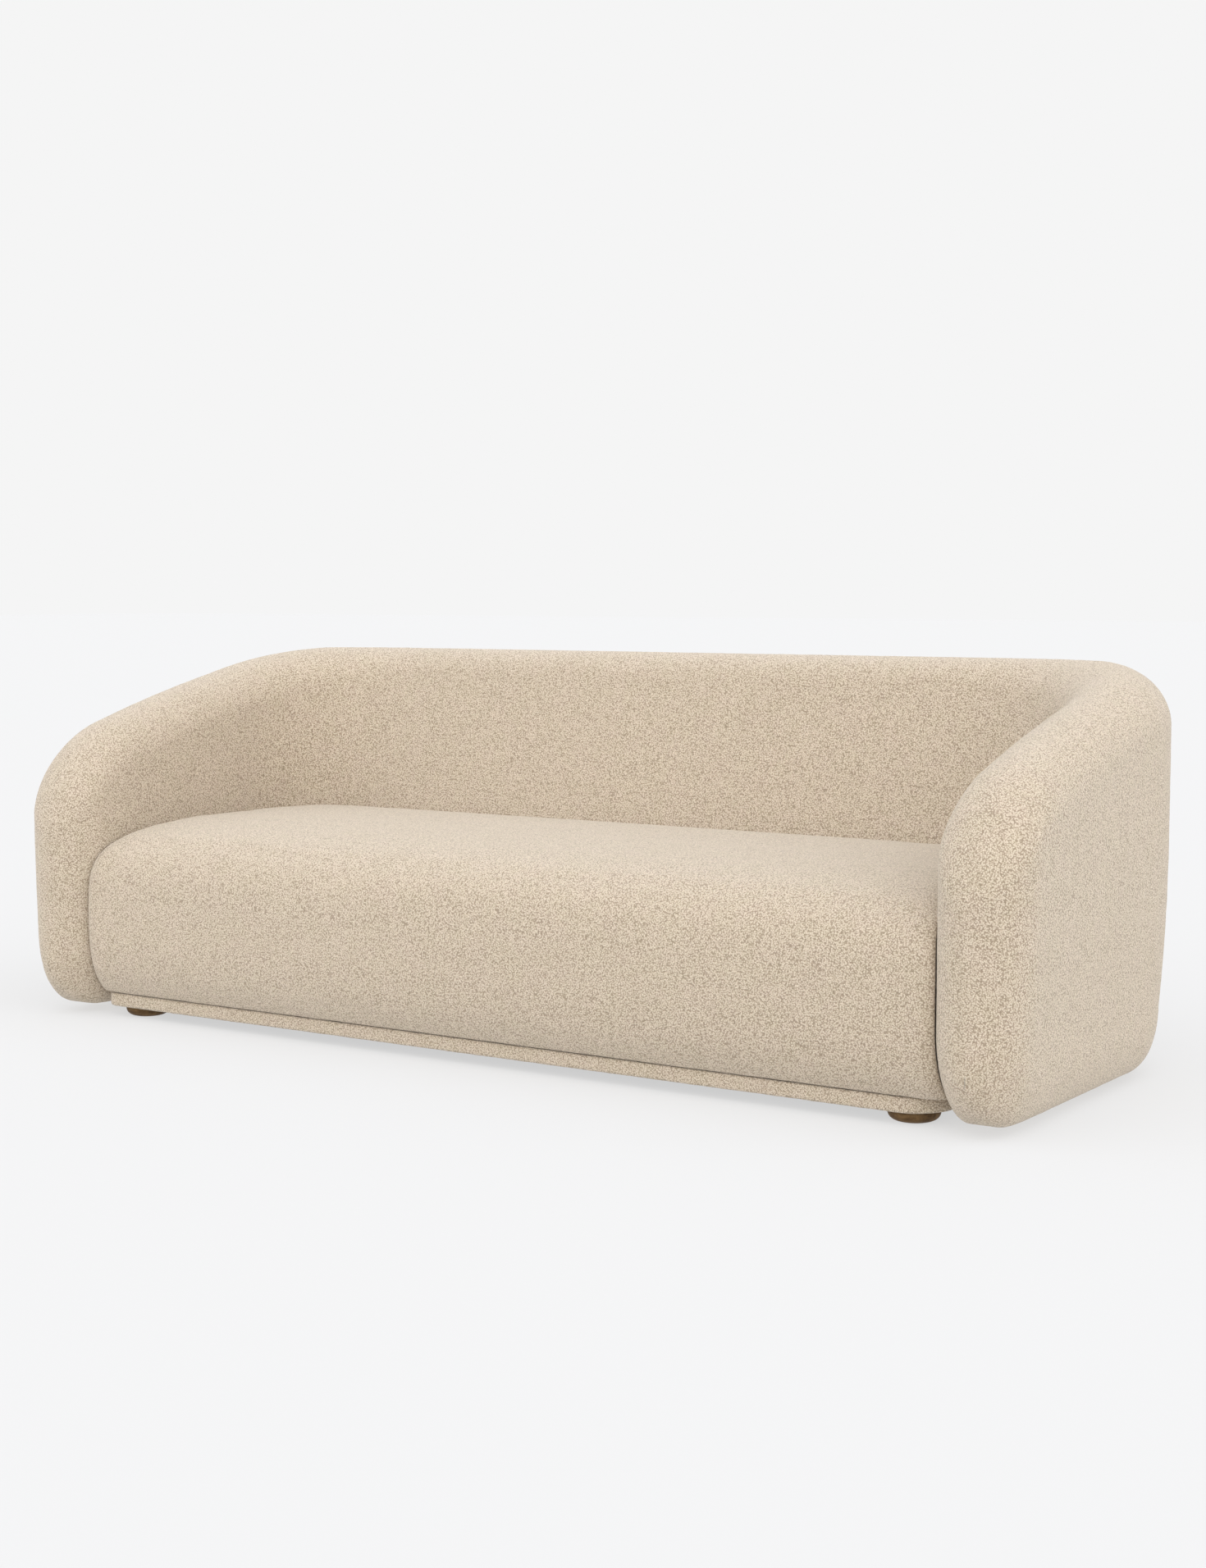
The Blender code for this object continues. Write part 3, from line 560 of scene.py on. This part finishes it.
def subdivided(piece, levels):
    """Splits a piece's faces into a finer, rounder mesh."""
    finer = piece.modifiers.new("finer", "SUBSURF")
    finer.levels = levels
    finer.render_levels = levels
    applied(piece)


def pressed(piece, neighbour, gap):
    """Flattens a soft piece where it meets its neighbour, and leaves a thin gap between them."""
    neighbour.data.calc_loop_triangles()
    tree = BVHTree.FromPolygons(
        [v.co for v in neighbour.data.vertices],
        [tuple(t.vertices) for t in neighbour.data.loop_triangles],
    )
    mesh = piece.data
    points = points_of(mesh)
    for i, p in enumerate(points):
        at = Vector(p)
        near, normal, _, distance = tree.find_nearest(at, PRESS_REACH)
        if near is None:
            continue
        depth = (at - near).dot(normal)
        if depth < gap and (depth < 0 or distance < gap):
            points[i] = near + normal * gap
    move_points(mesh, points)


def seat(material, neighbour):
    piece = seat_form()
    swollen(piece)
    subdivided(piece, 1)
    pressed(piece, neighbour, PRESSED_GAP)
    relaxed(piece, 1)
    pressed(piece, neighbour, PRESSED_GAP)
    piece.data.materials.clear()
    piece.data.materials.append(material)
    piece.data.shade_smooth()
    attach(piece, "root")
    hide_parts("seat_cover")
    return piece


# ---------------------------------------------------------------- the band


# The band's box comes from its CAD strips. Its front corners are the left one and the right one.
STRIP_LOW, STRIP_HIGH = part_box("band_front")
BAND_HALF_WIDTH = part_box("band_right")[1].x
BAND_FRONT = STRIP_LOW.y
BAND_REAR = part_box("band_back")[1].y
BAND_LOW = STRIP_LOW.z
BAND_TOP = STRIP_HIGH.z
BAND_THICKNESS = STRIP_HIGH.y - BAND_FRONT
BAND_FRONT_CORNERS = (0.030, 0.080)
BAND_REAR_CORNER = 0.24
BAND_ROUNDING = 0.0045
BAND_STEP = 0.0045
BAND_CORNER_SAMPLES = 7
BAND_SECTION_POINTS = 22


def band_section(half_depth, half_height):
    """The outline across the band: a rectangle with rounded corners."""
    line = []
    for x, z, start in ((1, -1, -90), (1, 1, 0), (-1, 1, 90), (-1, -1, 180)):
        for angle in np.radians(np.linspace(start, start + 90, BAND_CORNER_SAMPLES)):
            across = x * (half_depth - BAND_ROUNDING) + BAND_ROUNDING * math.cos(angle)
            up = z * (half_height - BAND_ROUNDING) + BAND_ROUNDING * math.sin(angle)
            line.append((across, up))
    return resampled(np.array(line), BAND_SECTION_POINTS)


def band(material):
    """One padded strip wrapped in the boucle, all the way round below the seat."""
    half_height = (BAND_TOP - BAND_LOW) / 2
    half_depth = BAND_THICKNESS / 2
    section = band_section(half_depth, half_height)
    plan = rounded_plan(
        BAND_HALF_WIDTH - half_depth,
        BAND_FRONT + half_depth,
        BAND_REAR - half_depth,
        [corner - half_depth for corner in BAND_FRONT_CORNERS],
        BAND_REAR_CORNER - half_depth,
        BAND_STEP,
    )
    ahead = np.roll(plan, -1, axis=0) - np.roll(plan, 1, axis=0)
    ahead /= np.linalg.norm(ahead, axis=1, keepdims=True)
    outwards = np.stack([ahead[:, 1], -ahead[:, 0]], 1)
    rows = []
    for place, out in zip(plan, outwards):
        spots = place + out * section[:, :1]
        rows.append(np.column_stack([spots, section[:, 1] + BAND_LOW + half_height]))
    faces = grid_faces(len(rows), len(section), True, True)
    nodes = ["band_front", "band_back", "band_left", "band_right"]
    piece = mesh_piece("wrapped_band", np.concatenate(rows), faces, material, nodes)
    face_outwards(piece)
    return piece


# ---------------------------------------------------------------- the feet


# A foot's turned profile from the middle of its top to the middle of its base: radii and heights
FOOT_PROFILE = (
    (0.0000, 0.0209),
    (0.0300, 0.0209),
    (0.0452, 0.0209),
    (0.0460, 0.0205),
    (0.0464, 0.0195),
    (0.0464, 0.0165),
    (0.0459, 0.0130),
    (0.0446, 0.0095),
    (0.0424, 0.0064),
    (0.0392, 0.0037),
    (0.0350, 0.0016),
    (0.0310, 0.0005),
    (0.0280, 0.0000),
    (0.0000, 0.0000),
)
FOOT_SEGMENTS = 96
FOOT_SHARP_ANGLE = 50.0
FOOT_MERGE_DISTANCE = 1e-6


def foot_names():
    """The CAD nodes of the turned feet, without their blocks and bolts."""
    hidden = ("foot_block_", "foot_bolt_")
    return [name for name in frame["nodes"] if name.startswith("foot_") and not name.startswith(hidden)]


def foot(name, material):
    """A squat turned puck: straight near its top, and rounded in to a smaller flat base."""
    low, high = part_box(name)
    centre = (low + high) / 2
    mesh_edit = bmesh.new()
    line = [mesh_edit.verts.new((radius, 0, z)) for radius, z in FOOT_PROFILE]
    edges = [mesh_edit.edges.new(pair) for pair in zip(line, line[1:])]
    bmesh.ops.spin(
        mesh_edit, geom=line + edges, axis=(0, 0, 1), cent=(0, 0, 0), angle=math.tau, steps=FOOT_SEGMENTS
    )
    bmesh.ops.remove_doubles(mesh_edit, verts=mesh_edit.verts, dist=FOOT_MERGE_DISTANCE)
    bmesh.ops.recalc_face_normals(mesh_edit, faces=mesh_edit.faces)
    bmesh.ops.translate(mesh_edit, vec=(centre.x, centre.y, 0), verts=mesh_edit.verts)
    mesh = bpy.data.meshes.new(f"turned_{name}")
    mesh_edit.to_mesh(mesh)
    mesh_edit.free()
    mesh.shade_smooth()
    mesh.set_sharp_from_angle(angle=math.radians(FOOT_SHARP_ANGLE))
    mesh.materials.append(material)
    piece = placed(mesh.name, mesh)
    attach(piece, "root")
    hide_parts(name)


# ---------------------------------------------------------------- the cloth below


CLOTH_LOW, CLOTH_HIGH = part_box("dust_cover")
CLOTH_MARGIN = 0.0025
CLOTH_CORNER = 0.040
CLOTH_REAR_CORNER = 0.22
CLOTH_STEP = 0.02
CLOTH_THINNING = 0.8
CLOTH_THICKNESS = (CLOTH_HIGH.z - CLOTH_LOW.z) * CLOTH_THINNING
HOLE_RADIUS = 0.0062
HOLE_POINTS = 20


def bolt_holes():
    """The outline of a round hole for each foot's bolt."""
    angles = np.linspace(0, math.tau, HOLE_POINTS, endpoint=False)
    circle = np.stack([np.cos(angles), np.sin(angles)], 1) * HOLE_RADIUS
    holes = []
    for name in frame["nodes"]:
        if name.startswith("foot_bolt_"):
            low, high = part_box(name)
            middle = (low + high) / 2
            holes.append(circle + (middle.x, middle.y))
    return holes


def flat_sheet(outlines):
    """A thin flat mesh inside the first outline, with the others as holes."""
    curve = bpy.data.curves.new("cloth_outline", "CURVE")
    curve.dimensions = "2D"
    curve.fill_mode = "BOTH"
    curve.extrude = CLOTH_THICKNESS / 2
    for outline in outlines:
        line = curve.splines.new("POLY")
        line.points.add(len(outline) - 1)
        for point, (x, y) in zip(line.points, outline):
            point.co = (x, y, 0, 1)
        line.use_cyclic_u = True
    flat = placed("cloth_outline", curve)
    mesh = bpy.data.meshes.new_from_object(flat.evaluated_get(bpy.context.evaluated_depsgraph_get()))
    bpy.data.objects.remove(flat)
    bpy.data.curves.remove(curve)
    return mesh


def cloth_below(material):
    """The thin cloth that closes the underside, stretched flat, with a hole for each foot's bolt."""
    half_width = CLOTH_HIGH.x - CLOTH_MARGIN
    front = CLOTH_LOW.y + CLOTH_MARGIN
    rear = CLOTH_HIGH.y - CLOTH_MARGIN
    corners = (CLOTH_CORNER, CLOTH_CORNER)
    outline = rounded_plan(half_width, front, rear, corners, CLOTH_REAR_CORNER, CLOTH_STEP)
    holes = bolt_holes()
    mesh = flat_sheet([outline, *holes])
    mesh.transform(Matrix.Translation((0, 0, (CLOTH_LOW.z + CLOTH_HIGH.z) / 2)))
    mesh.materials.clear()
    mesh.materials.append(material)
    mesh.shade_flat()
    piece = placed("cloth_below", mesh)
    face_outwards(piece)
    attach(piece, "root")
    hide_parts("dust_cover")


# ---------------------------------------------------------------- materials


def node(tree, kind, **properties):
    """A shader node with its properties set by name."""
    made = tree.nodes.new(kind)
    for name, value in properties.items():
        setattr(made, name, value)
    return made


def new_material(name):
    """A new material, its shader nodes and its main shader."""
    material = bpy.data.materials.new(name)
    material.use_nodes = True
    tree = material.node_tree
    return material, tree, tree.nodes["Principled BSDF"]


def place_in_metres(tree, scale):
    """The place on an object in metres, times a scale along each axis."""
    coordinates = node(tree, "ShaderNodeTexCoord")
    mapping = node(tree, "ShaderNodeMapping")
    mapping.inputs["Scale"].default_value = scale
    tree.links.new(coordinates.outputs["Object"], mapping.inputs["Vector"])
    return mapping.outputs["Vector"]


def noise_at(tree, vector, scale, detail=2.0, roughness=0.5):
    """Smooth noise at a place."""
    made = node(tree, "ShaderNodeTexNoise")
    made.inputs["Scale"].default_value = scale
    made.inputs["Detail"].default_value = detail
    made.inputs["Roughness"].default_value = roughness
    tree.links.new(vector, made.inputs["Vector"])
    return made


def ramp(tree, value, stops):
    """Colours at positions; a stop is (position, (r, g, b))."""
    made = node(tree, "ShaderNodeValToRGB")
    elements = made.color_ramp.elements
    while len(elements) < len(stops):
        elements.new(0.5)
    for element, (position, colour) in zip(elements, stops):
        element.position = position
        element.color = (*colour, 1.0)
    tree.links.new(value, made.inputs["Fac"])
    return made.outputs["Color"]


def mixed(tree, kind, share, first, second):
    """Two colours mixed by a share from 0 to 1."""
    made = node(tree, "ShaderNodeMix", data_type="RGBA", blend_type=kind)
    inputs = {socket.identifier: socket for socket in made.inputs}
    inputs["Factor_Float"].default_value = share
    tree.links.new(first, inputs["A_Color"])
    tree.links.new(second, inputs["B_Color"])
    return next(socket for socket in made.outputs if socket.identifier == "Result_Color")


def maths(tree, operation, first, second):
    """The result of a sum or product of two values, each a number or a socket."""
    made = node(tree, "ShaderNodeMath", operation=operation)
    for target, value in zip(made.inputs, (first, second)):
        if hasattr(value, "is_linked"):
            tree.links.new(value, target)
        else:
            target.default_value = value
    return made.outputs["Value"]


def bump(tree, shader, height, strength, distance):
    """Lets a height tilt a shader's normals."""
    made = node(tree, "ShaderNodeBump")
    made.inputs["Strength"].default_value = strength
    made.inputs["Distance"].default_value = distance
    tree.links.new(height, made.inputs["Height"])
    tree.links.new(made.outputs["Normal"], shader.inputs["Normal"])


WHITE = (1.0, 1.0, 1.0)

# The boucle. How fine each part of its pattern is, per metre
BOUCLE_NUBS = 360.0
BOUCLE_WARP = 220.0
BOUCLE_FUZZ = 620.0
BOUCLE_LUMPS = 60.0
BOUCLE_PATCHES = 24.0
BOUCLE_STREAKS = (130, 130, 5)
# How unevenly the nubs are set, how far they are bent, and how strongly each part shows
BOUCLE_UNEVEN = 1.0
BOUCLE_BEND = 0.0012
BOUCLE_RELIEF = 0.0015
BOUCLE_FUZZ_HEIGHT = 0.5
BOUCLE_LUMP_HEIGHT = 0.05
BOUCLE_PATCH_SHARE = 0.16
BOUCLE_YARN_SHARE = 0.8
BOUCLE_STREAK_SHARE = 0.35
BOUCLE_ROUGHNESS = 0.95
BOUCLE_SHINE = 0.15
BOUCLE_SHEEN = 0.45
BOUCLE_SHEEN_ROUGHNESS = 0.5
# Its shades, and where each is reached on the way from a nub's middle to its edge, or in the noise. Over
# the yarn's own tone, the gap shade is painted shade in the crevices between the nubs, and the loop shade
# is a painted highlight on their middles.
BOUCLE_GAP_AND_PAINTED_SHADE = (0.285, 0.222, 0.157)
BOUCLE_BODY = (0.555, 0.461, 0.354)
BOUCLE_LOOP_AND_PAINTED_HIGHLIGHT = (0.735, 0.642, 0.517)
BOUCLE_PINK = (0.64, 0.51, 0.41)
BOUCLE_OCHRE = (0.59, 0.51, 0.355)
BOUCLE_SHEEN_TINT = (0.97, 0.93, 0.86, 1.0)
NUB_STOPS_PAINTED_LIGHT_AND_SHADE = ((0.20, BOUCLE_LOOP_AND_PAINTED_HIGHLIGHT), (0.46, BOUCLE_BODY), (0.74, BOUCLE_GAP_AND_PAINTED_SHADE))
PATCH_STOPS = ((0.38, BOUCLE_PINK), (0.62, BOUCLE_OCHRE))
YARN_STOPS = ((0.35, (0.84, 0.83, 0.82)), (0.62, WHITE))
STREAK_STOPS = ((0.34, (0.88, 0.87, 0.86)), (0.50, WHITE))


def boucle():
    """Looped yarn: round nubs about 3 mm apart, with a painted highlight on their middles and painted shade
    in the gaps between them, a little pink and ochre mottling, and faint upright streaks."""
    material, tree, shader = new_material("boucle_fabric")
    vector = place_in_metres(tree, (1, 1, 1))
    warp = noise_at(tree, vector, BOUCLE_WARP)
    bent = node(tree, "ShaderNodeVectorMath", operation="MULTIPLY_ADD")
    tree.links.new(warp.outputs["Color"], bent.inputs[0])
    bent.inputs[1].default_value = (BOUCLE_BEND, BOUCLE_BEND, BOUCLE_BEND)
    tree.links.new(vector, bent.inputs[2])
    cells = node(tree, "ShaderNodeTexVoronoi", feature="F1")
    cells.inputs["Scale"].default_value = BOUCLE_NUBS
    cells.inputs["Randomness"].default_value = BOUCLE_UNEVEN
    tree.links.new(bent.outputs["Vector"], cells.inputs["Vector"])
    fuzz = noise_at(tree, vector, BOUCLE_FUZZ, 2.0, 0.6)
    lumps = noise_at(tree, vector, BOUCLE_LUMPS)
    height = maths(tree, "SUBTRACT", 1.0, cells.outputs["Distance"])
    for rough, share in ((fuzz, BOUCLE_FUZZ_HEIGHT), (lumps, BOUCLE_LUMP_HEIGHT)):
        height = maths(tree, "ADD", height, maths(tree, "MULTIPLY", rough.outputs["Fac"], share))
    # Painted light and shade: the nubs' middles are painted lighter and the gaps between them darker, as
    # their relief would be lit and shaded.
    colour = ramp(tree, cells.outputs["Distance"], NUB_STOPS_PAINTED_LIGHT_AND_SHADE)
    patches = noise_at(tree, vector, BOUCLE_PATCHES, 3.0, 0.6)
    tint = ramp(tree, patches.outputs["Fac"], PATCH_STOPS)
    colour = mixed(tree, "MIX", BOUCLE_PATCH_SHARE, colour, tint)
    yarn = ramp(tree, fuzz.outputs["Fac"], YARN_STOPS)
    colour = mixed(tree, "MULTIPLY", BOUCLE_YARN_SHARE, colour, yarn)
    streaks = noise_at(tree, place_in_metres(tree, BOUCLE_STREAKS), 1.0)
    dim = ramp(tree, streaks.outputs["Fac"], STREAK_STOPS)
    colour = mixed(tree, "MULTIPLY", BOUCLE_STREAK_SHARE, colour, dim)
    tree.links.new(colour, shader.inputs["Base Color"])
    shader.inputs["Roughness"].default_value = BOUCLE_ROUGHNESS
    shader.inputs["Specular IOR Level"].default_value = BOUCLE_SHINE
    shader.inputs["Sheen Weight"].default_value = BOUCLE_SHEEN
    shader.inputs["Sheen Roughness"].default_value = BOUCLE_SHEEN_ROUGHNESS
    shader.inputs["Sheen Tint"].default_value = BOUCLE_SHEEN_TINT
    bump(tree, shader, height, 1.0, BOUCLE_RELIEF)
    return material


# The grain of wood and the speckle of plain stuffs: how they are made up, where in the noise their dark
# and light tones are reached, and how strongly a speckle is raised
GRAIN_DETAIL = 4.0
GRAIN_ROUGHNESS = 0.6
WOOD_DARK_AT = 0.34
WOOD_LIGHT_AT = 0.66
SPECKLE_DARK_AT = 0.35
SPECKLE_LIGHT_AT = 0.65
SPECKLE_RELIEF = 0.4
# Wood also has pores: how many per metre, how dark and how deep they are. Its roughness varies a little.
PORES = (40, 900, 900)
PORE_STOPS = ((0.38, (0.55, 0.52, 0.50)), (0.52, WHITE))
PORE_SHARE = 0.6
PORE_RELIEF = 0.25
PORE_DEPTH = 0.0003
SMOOTHER = 0.07
ROUGHER = 0.08


def wood(name, dark, light, scale, roughness, shine=0.5):
    """Wood with long grain along X, pores and slow changes of tone."""
    material, tree, shader = new_material(name)
    vector = place_in_metres(tree, scale)
    rings = noise_at(tree, vector, 1.0, GRAIN_DETAIL, GRAIN_ROUGHNESS)
    pores = noise_at(tree, place_in_metres(tree, PORES), 1.0)
    colour = ramp(tree, rings.outputs["Fac"], ((WOOD_DARK_AT, dark), (WOOD_LIGHT_AT, light)))
    fine = ramp(tree, pores.outputs["Fac"], PORE_STOPS)
    colour = mixed(tree, "MULTIPLY", PORE_SHARE, colour, fine)
    tree.links.new(colour, shader.inputs["Base Color"])
    rough = node(tree, "ShaderNodeMapRange")
    rough.inputs["To Min"].default_value = roughness - SMOOTHER
    rough.inputs["To Max"].default_value = roughness + ROUGHER
    tree.links.new(rings.outputs["Fac"], rough.inputs["Value"])
    tree.links.new(rough.outputs["Result"], shader.inputs["Roughness"])
    shader.inputs["Specular IOR Level"].default_value = shine
    bump(tree, shader, pores.outputs["Fac"], PORE_RELIEF, PORE_DEPTH)
    return material


def speckled(name, dark, light, scale, roughness, metallic=0.0, depth=0.0004):
    """A plain stuff with a fine speckle, such as foam, wadding, cloth or plated wire."""
    material, tree, shader = new_material(name)
    place = place_in_metres(tree, (1, 1, 1))
    grain = noise_at(tree, place, scale, GRAIN_DETAIL, GRAIN_ROUGHNESS)
    colour = ramp(tree, grain.outputs["Fac"], ((SPECKLE_DARK_AT, dark), (SPECKLE_LIGHT_AT, light)))
    tree.links.new(colour, shader.inputs["Base Color"])
    shader.inputs["Roughness"].default_value = roughness
    shader.inputs["Metallic"].default_value = metallic
    bump(tree, shader, grain.outputs["Fac"], SPECKLE_RELIEF, depth)
    return material


def walnut():
    """The feet's dark turned wood, with little shine."""
    return wood("dark_walnut", (0.060, 0.030, 0.010), (0.165, 0.098, 0.040), (14, 70, 70), 0.55, shine=0.15)


def cambric():
    """The thin black cloth below the sofa."""
    return speckled("black_cambric", (0.010, 0.010, 0.011), (0.035, 0.035, 0.036), 600.0, 0.90)


# Materials of the hidden pieces. A wood is its dark and light tones, the scale of its grain and its
# roughness. A plain stuff is its dark and light tones, its speckles per metre, its roughness, and
# where they differ from a cloth's, how metallic it is and how deep its speckle is.
HIDDEN_WOODS = {
    "frame_hardwood": ("sawn_hardwood", (0.42, 0.27, 0.15), (0.66, 0.48, 0.30), (3, 45, 45), 0.62),
    "plywood": ("cut_plywood", (0.55, 0.40, 0.24), (0.76, 0.61, 0.42), (4, 30, 180), 0.66),
}
HIDDEN_STUFFS = {
    "spring_steel": ("oiled_wire", (0.20, 0.21, 0.23), (0.40, 0.41, 0.43), 300.0, 0.38, 1.0),
    "zinc_steel": ("zinc_plate", (0.55, 0.56, 0.58), (0.78, 0.78, 0.76), 240.0, 0.33, 1.0),
    "foam": ("cut_foam", (0.74, 0.70, 0.52), (0.90, 0.86, 0.70), 700.0, 0.92, 0.0, 0.0008),
    "wadding": ("soft_wadding", (0.78, 0.78, 0.76), (0.94, 0.94, 0.92), 160.0, 0.95, 0.0, 0.002),
    "elastic_webbing": ("webbing", (0.05, 0.05, 0.06), (0.16, 0.16, 0.17), 500.0, 0.80),
}


def hidden_materials():
    """A material for each slot of the pieces that keep their CAD mesh."""
    woods = {slot: wood(*look) for slot, look in HIDDEN_WOODS.items()}
    stuffs = {slot: speckled(*look) for slot, look in HIDDEN_STUFFS.items()}
    return {**woods, **stuffs}


def dress_hidden_nodes():
    """Gives the pieces that keep their CAD mesh the material of their slot."""
    looks = hidden_materials()
    slots = {row["node"]: row["material_slot"] for row in frame["record"]["subparts"]}
    for name, piece in frame["nodes"].items():
        material = looks.get(slots[name])
        if material is None:
            continue
        for place in piece.material_slots:
            place.material = material


# ---------------------------------------------------------------- stage


def floor():
    """A pale floor that reaches the horizon and takes a soft shadow."""
    mesh = bpy.data.meshes.new("floor")
    corners = [(x * FLOOR_REACH, y * FLOOR_REACH, 0) for x, y in ((-1, -1), (1, -1), (1, 1), (-1, 1))]
    mesh.from_pydata(corners, [], [(0, 1, 2, 3)])
    piece = placed("floor", mesh)
    material, tree, shader = new_material("pale_floor")
    tree.nodes.remove(shader)
    glow = node(tree, "ShaderNodeEmission")
    glow.inputs["Color"].default_value = (BACKDROP, BACKDROP, BACKDROP, 1.0)
    matt = node(tree, "ShaderNodeBsdfDiffuse")
    falls = sum(strength * math.sin(math.radians(rise)) / math.pi for _, rise, strength in LIGHTS)
    shade = BACKDROP / (BACKDROP + falls)
    matt.inputs["Color"].default_value = (shade, shade, shade, 1.0)
    both = node(tree, "ShaderNodeMixShader")
    both.inputs["Fac"].default_value = FLOOR_GLOW
    tree.links.new(matt.outputs["BSDF"], both.inputs[1])
    tree.links.new(glow.outputs["Emission"], both.inputs[2])
    tree.links.new(both.outputs["Shader"], tree.nodes["Material Output"].inputs["Surface"])
    mesh.materials.append(material)


def lights():
    """A pale sky that is slightly cooler above, and wide soft lights."""
    world = bpy.data.worlds.new("studio")
    bpy.context.scene.world = world
    world.use_nodes = True
    tree = world.node_tree
    coordinates = node(tree, "ShaderNodeTexCoord")
    upwards = node(tree, "ShaderNodeSeparateXYZ")
    tree.links.new(coordinates.outputs["Generated"], upwards.inputs["Vector"])
    sky = ramp(tree, upwards.outputs["Z"], ((SKY_FROM, (BACKDROP, BACKDROP, BACKDROP)), (SKY_TO, SKY_TOP)))
    tree.links.new(sky, tree.nodes["Background"].inputs["Color"])
    for number, (turn, rise, strength) in enumerate(LIGHTS, 1):
        lamp = bpy.data.lights.new(f"soft_light_{number}", "SUN")
        lamp.energy = strength
        lamp.angle = math.radians(LIGHT_SPREAD)
        holder = placed(lamp.name, lamp)
        holder.rotation_euler = (math.radians(90 - rise), 0, math.radians(turn))


def camera():
    """The camera that the sofa is seen from."""
    lens = bpy.data.cameras.new("camera")
    lens.lens = CAMERA_LENS
    lens.sensor_width = CAMERA_SENSOR
    lens.clip_end = CAMERA_FAR
    holder = placed("camera", lens)
    holder.location = CAMERA_PLACE
    holder.rotation_euler = (math.pi / 2 - CAMERA_PITCH, 0, CAMERA_YAW)
    bpy.context.scene.camera = holder


camera()
lights()
floor()
bpy.context.scene.view_settings.view_transform = "Standard"
fabric = boucle()
back_and_arms = wall(fabric)
bench = seat(fabric, back_and_arms)
strip = band(fabric)
for soft_piece in (back_and_arms, bench, strip):
    roughen(soft_piece)
dark_wood = walnut()
for foot_name in foot_names():
    foot(foot_name, dark_wood)
cloth_below(cambric())
dress_hidden_nodes()
